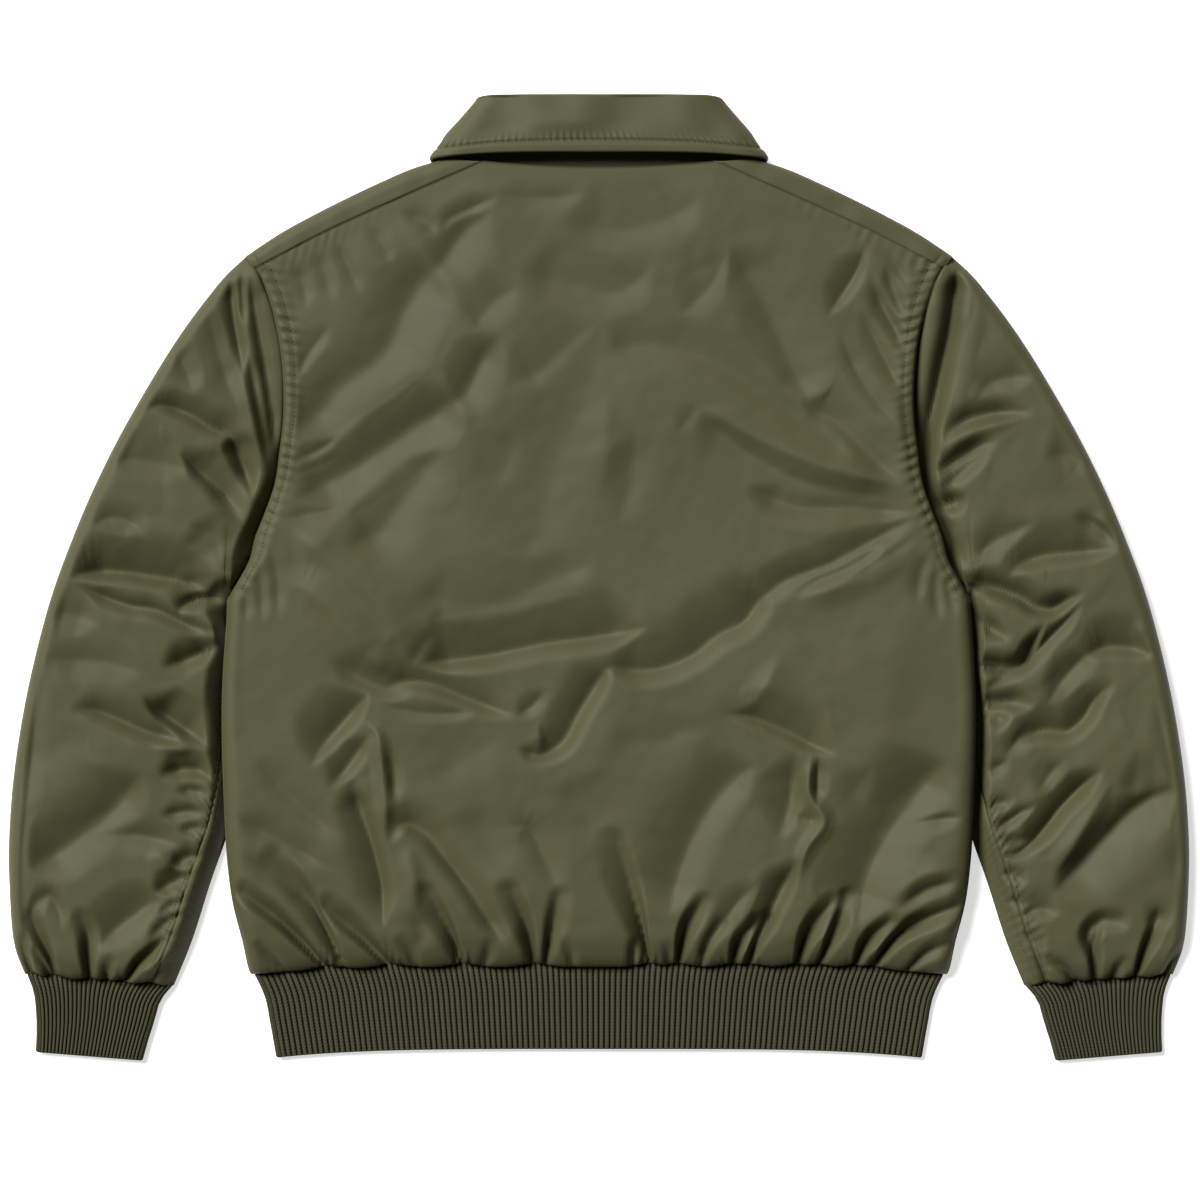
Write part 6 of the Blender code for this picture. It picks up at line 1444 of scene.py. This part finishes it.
# %% leaf and stand
def leaf_shape(along, from_edge, grid):
    """Topstitch groove near the edge, puckers on both sides of it, a little unevenness."""
    on_top = ramp(grid[..., 2], 4, 12)
    groove = -0.8 * bell(from_edge - COLLAR_STITCH, 1.1)
    small = puckers(along, from_edge - 10.0, seed=71, pitch=5.6, reach=4.0, slant=0.3)
    small = 0.6 * small * ramp(from_edge, 5, 8)
    waves = unevenness(grid[..., 0], 0.35 * grid[..., 1], 78, shortest=30, longest=100, waves=24)
    soft = 1.7 * waves * ramp(from_edge, 8, 24)
    bulge = 0.5 * bell(from_edge - 3.6, 2.8)
    return groove + on_top * (small + soft + bulge)


def stand_shape(along, from_edge, grid):
    """The stand is hidden, and plain."""
    return 0 * (along + from_edge)


leaf_depths = np.concatenate([np.linspace(0, 0.7, 22), np.linspace(0.7, 1, 26)[1:]])
leaf, leaf_outer, leaf_normal = collar_band("collar_leaf_shell", LEAF, LEAF_WALL, leaf_depths,
                                            leaf_shape)
stand, _, _ = collar_band("collar_stand_shell", STAND, STAND_WALL, np.linspace(0, 1, 14),
                          stand_shape)
print("collar:", len(leaf.data.polygons), "and", len(stand.data.polygons), "faces")

# %% [markdown]
# ## Topstitching
#
# A machine stitch is a short bar of thread that dips into the cloth at both ends.  One bar is
# modelled with a few dozen faces, and copies of it are placed along each line as one joined
# mesh: every copy is turned into the line's direction, and its ends are pressed into the cloth.

# %% one stitch, and a line of them
STITCH_LENGTH, STITCH_PITCH, STITCH_RADIUS = 2.5, 3.4, 0.26
STITCH_SIDES, STITCH_RINGS = 6, 5


def stitch_shape():
    """Points (along, across, up) and faces of a bar, its ends lower and thinner."""
    t = np.linspace(-1, 1, STITCH_RINGS)[:, None]
    a = np.radians(np.arange(STITCH_SIDES) * 360 / STITCH_SIDES)[None, :]
    fat = STITCH_RADIUS * (1 - 0.55 * t ** 4)
    points = np.stack([t * STITCH_LENGTH / 2 + 0 * a, fat * np.cos(a),
                       fat * np.sin(a) * 0.8 + 0.28 * (1 - 1.9 * t ** 4) + 0 * a], axis=-1)
    return points.reshape(-1, 3), turned(tube_faces(STITCH_RINGS, STITCH_SIDES), True)


# %% where the stitches of a line lie
def along_path(at, run, values):
    """Values of a path's points, read at lengths along it."""
    at = np.clip(at, 0, run[-1])
    return np.column_stack([np.interp(at, run, values[:, k]) for k in range(3)])


def stitch_line(path, up):
    """Points of stitches at even steps along a path of points with upward normals."""
    run = run_of(path)
    at = np.arange(STITCH_PITCH / 2, run[-1], STITCH_PITCH)
    place = along_path(at, run, path)
    ahead, behind = along_path(at + 1.2, run, path), along_path(at - 1.2, run, path)
    tangent = unit_of(ahead - behind)
    across = unit_of(np.cross(along_path(at, run, up), tangent))
    normal = np.cross(tangent, across)
    bar = stitch_shape()[0][None]
    points = (place[:, None] + bar[..., :1] * tangent[:, None] + bar[..., 1:2] * across[:, None]
              + bar[..., 2:] * normal[:, None])
    return points.reshape(-1, 3)


def stitches(name, lines):
    """All lines of one piece as one object."""
    points = np.concatenate([stitch_line(path, up) for path, up in lines])
    bar, faces = stitch_shape()
    return lay(name, points, copied(faces, len(points) // len(bar), len(bar)), thread)


def on_columns(grid, normal, wanted, value):
    """For each row, the point where value, which grows along the row, is the wanted one."""
    index = np.arange(grid.shape[1])
    at = np.array([np.interp(w, v, index) for w, v in zip(wanted, value)])
    low = np.clip(at.astype(int), 0, grid.shape[1] - 2)
    part = (at - low)[:, None]
    rows = np.arange(grid.shape[0])
    return tuple(g[rows, low] * (1 - part) + g[rows, low + 1] * part for g in (grid, normal))


# %% stitches of the armholes
back_normal = -normals_of(back_grid)
back_normal = back_normal * np.sign(back_normal[..., 2:])
arm_rows = back_side[:, 0] > UNDERARM_Y + 2.2
arm_grid, arm_normal = back_grid[arm_rows], back_normal[arm_rows]
arm_lines = []
for name, sign in SIDES:
    wanted = sign * (half_width(back_side[arm_rows, 0]) - STITCH_INSET)
    arm_lines.append(on_columns(arm_grid, arm_normal, wanted, arm_grid[..., 0]))
arm_stitches = stitches("armhole_stitches", arm_lines)
print("armhole stitches:", len(arm_stitches.data.polygons), "faces")

# %% stitches of the sleeves and collar
SEAM_ROWS = np.s_[14:-10]               # the stitches end just before the armhole and the cuff
NEAR_COLUMNS = (40, 9)                  # the columns near the seam, of the larger and smaller piece
sleeve_lines = {}
for name, sign in SIDES:
    lines = []
    for (piece, grid), reach, near in zip(sleeves[name], STITCH_LINES, NEAR_COLUMNS):
        part = grid[SEAM_ROWS]
        normal = normals_of(part)
        normal = normal * np.where(normal[..., 2:] < 0, -1, 1)
        gap = np.linalg.norm(part - part[:, :1], axis=-1)
        lines.append(on_columns(part[:, :near], normal[:, :near], np.full(len(part), reach),
                                gap[:, :near]))
    sleeve_lines[name] = stitches("sleeve_" + name + "_stitches", lines)

leaf_span = np.linalg.norm(leaf_outer - leaf_outer[-1:], axis=-1).T
leaf_path, leaf_up = on_columns(leaf_outer.transpose(1, 0, 2), leaf_normal.transpose(1, 0, 2),
                                np.full(leaf_outer.shape[1], -COLLAR_STITCH), -leaf_span)
leaf_stitches = stitches("collar_stitches", [(leaf_path[4:-4], leaf_up[4:-4])])
print("stitches:", [len(o.data.polygons) for o in (*sleeve_lines.values(), leaf_stitches)])

# %% [markdown]
# ## The zip
#
# Each half of the zip is a woven tape with a row of moulded teeth along its edge.  The teeth of
# the two halves stand alternately in each other's gaps.  They are a few dozen faces each, joined
# to one mesh with their tape.  The slider and the pull tab keep their solids and get their metal.

# %% tapes and teeth
TAPE_HALF, TAPE_END_HALF, TAPE_LOW, TAPE_HIGH = 14.0, 5.0, 3.3, 4.1
TAPE_GAP, TAPE_END_GAP = 0.6, 1.3       # from the middle, and above the slider
ZIP_BOTTOM_Y, ZIP_TOP_Y, NARROWS_Y, SLIDER_Y = -364.0, 254.6, 225, 246
TEETH_FROM_Y, TEETH_TO_Y, TOOTH_PITCH = -362.0, 236.5, 2.6
TOOTH_LOW, TOOTH_HIGH, TOOTH_CHAMFER = (-0.35, -0.62, 0.8), (2.5, 0.62, 3.3), 0.25


def bar_points(low, high, chamfer):
    """Corners of a bar along x with chamfered edges: an octagon in y and z at each end."""
    y0, y1, z0, z1, c = low[1], high[1], low[2], high[2], chamfer
    ring = ((y0 + c, z0), (y1 - c, z0), (y1, z0 + c), (y1, z1 - c), (y1 - c, z1), (y0 + c, z1),
            (y0, z1 - c), (y0, z0 + c))
    return np.array([(x, *p) for x in (low[0], high[0]) for p in ring])


# %% half a zip
def zip_half(name, sign):
    """Tape as a thin bar with its section at stations, and teeth as repeated chamfered bars."""
    y = np.concatenate([np.linspace(ZIP_BOTTOM_Y, LIFT_FROM_Y, 40),
                        np.linspace(LIFT_FROM_Y, ZIP_TOP_Y, 18)[1:]])
    lift = collar_lift(0 * y, y)
    half = TAPE_HALF - (TAPE_HALF - TAPE_END_HALF) * ramp(y, NARROWS_Y, ZIP_TOP_Y)
    near = np.where(y > SLIDER_Y, TAPE_END_GAP, TAPE_GAP)
    section = [(half, TAPE_LOW), (half, TAPE_HIGH), (near, TAPE_HIGH), (near, TAPE_LOW)]
    tape = np.stack([np.stack([sign * w, y, z + lift], axis=-1) for w, z in section], axis=1)
    tape_faces = turned(tube_faces(len(y), len(section)), sign < 0)
    centre = np.arange(TEETH_FROM_Y, TEETH_TO_Y, TOOTH_PITCH)
    centre = centre + (TOOTH_PITCH / 2 if sign > 0 else 0)
    tooth = bar_points(TOOTH_LOW, TOOTH_HIGH, TOOTH_CHAMFER)
    places = np.stack([0 * centre, centre, collar_lift(0 * centre, centre)], axis=-1)
    teeth = (tooth[None] + places[:, None]) * [sign, 1, 1]
    teeth_faces = copied(turned(tube_faces(2, 8), sign < 0), len(centre), len(tooth))
    points = np.concatenate([tape.reshape(-1, 3), teeth.reshape(-1, 3)])
    faces = tape_faces + [corners + tape.size // 3 for corners in teeth_faces]
    piece = lay(name, points, faces, tape_cloth, smooth=False)
    piece.data.materials.append(metal)
    number = np.zeros(len(piece.data.polygons), np.int32)
    number[sum(len(corners) for corners in tape_faces):] = 1
    piece.data.polygons.foreach_set("material_index", number)
    return piece


zips = {name: zip_half("zip_" + name + "_half", sign) for name, sign in SIDES}
for part in ("zip_slider", "zip_pull"):
    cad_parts[part].data.materials.clear()
    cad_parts[part].data.materials.append(metal)
print("zip halves:", [len(piece.data.polygons) for piece in zips.values()], "faces")

# %% [markdown]
# ## Which piece stands for which solid
#
# Every shell rides on the jacket's body and replaces its solid.

# %% riding and replacing
def dress(piece, nodes):
    """The piece rides on the jacket and replaces its solids."""
    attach(piece, "jacket")
    if nodes:
        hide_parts(*nodes)


dress(back, ["back"])
dress(hem, ["hem_rib"])
dress(leaf, ["collar_leaf"])
dress(stand, ["collar_stand"])
for name, sign in SIDES:
    dress(fronts[name], ["front_" + name])
    dress(sleeves[name][0][0], ["sleeve_" + name + "_upper"])
    dress(sleeves[name][1][0], ["sleeve_" + name + "_under"])
    dress(cuffs[name], ["cuff_" + name])
    dress(zips[name], ["zip_tape_" + name])
    dress(sleeve_lines[name], [])
for piece in (arm_stitches, leaf_stitches):
    dress(piece, [])

# %% [markdown]
# ## Floor, light and camera
#
# The jacket lies on a plain pale floor.  One broad lamp above its upper left makes the folds
# readable, and a pale surrounding fills the shadows.  The camera looks straight down.

# %% the set
def floor_material():
    """A pale matt table that glows a little, painted light that keeps it white and the jacket's shadow on
    it faint, with a faint mottle.
    """
    material, shader = new_material("floor", (0.86, 0.86, 0.86), 0.9, specular=0.1)
    # painted light: the floor glows, so the jacket's shadow on it stays faint
    shader.inputs["Emission Color"].default_value = (1, 1, 1, 1)
    shader.inputs["Emission Strength"].default_value = 0.6
    where = node(material, "ShaderNodeTexCoord").outputs["Object"]
    noise = node(material, "ShaderNodeTexNoise", {"Vector": where, "Scale": 3.0})
    shade = tint(material, noise.outputs["Fac"], (0.85, 0.85, 0.85), (0.87, 0.87, 0.87))
    feed(shader, "Base Color", shade)
    return material


FLOOR_HALF, FLOOR_Z = 6000.0, -0.3
corners = np.array([(-1, -1, 0), (1, -1, 0), (1, 1, 0), (-1, 1, 0)]) * FLOOR_HALF + (0, 0, FLOOR_Z)
floor = lay("floor", corners, [np.arange(4)[None, :]], floor_material())

# %% surround and lamp
world = bpy.data.worlds.new("surround")
world.use_nodes = True
surround = world.node_tree.nodes["Background"]
surround.inputs["Color"].default_value = (1.0, 1.0, 1.0, 1)
surround.inputs["Strength"].default_value = 0.08
bpy.context.scene.world = world

LAMP_FROM, LAMP_ENERGY, LAMP_ANGLE = (-0.51, 0.46, 0.73), 5.6, 30
key = bpy.data.objects.new("key", bpy.data.lights.new("key", "SUN"))
key.data.energy = LAMP_ENERGY
key.data.angle = math.radians(LAMP_ANGLE)
key.rotation_euler = Vector(LAMP_FROM).to_track_quat("Z", "Y").to_euler()
bpy.context.scene.collection.objects.link(key)

# %% the camera
CAMERA_HEIGHT, FRAME_WIDTH, AIM_HEIGHT = 4.2, 0.936, 0.015
AIM_X, AIM_Y, SENSOR = 0.0008, -0.0152, 36.0
camera = bpy.data.objects.new("camera", bpy.data.cameras.new("camera"))
camera.location = (AIM_X, AIM_Y, CAMERA_HEIGHT)
camera.data.sensor_width = SENSOR
camera.data.lens = SENSOR * (CAMERA_HEIGHT - AIM_HEIGHT) / FRAME_WIDTH
camera.data.clip_end = 50.0
bpy.context.scene.collection.objects.link(camera)
bpy.context.scene.camera = camera
bpy.context.scene.view_settings.view_transform = "Standard"
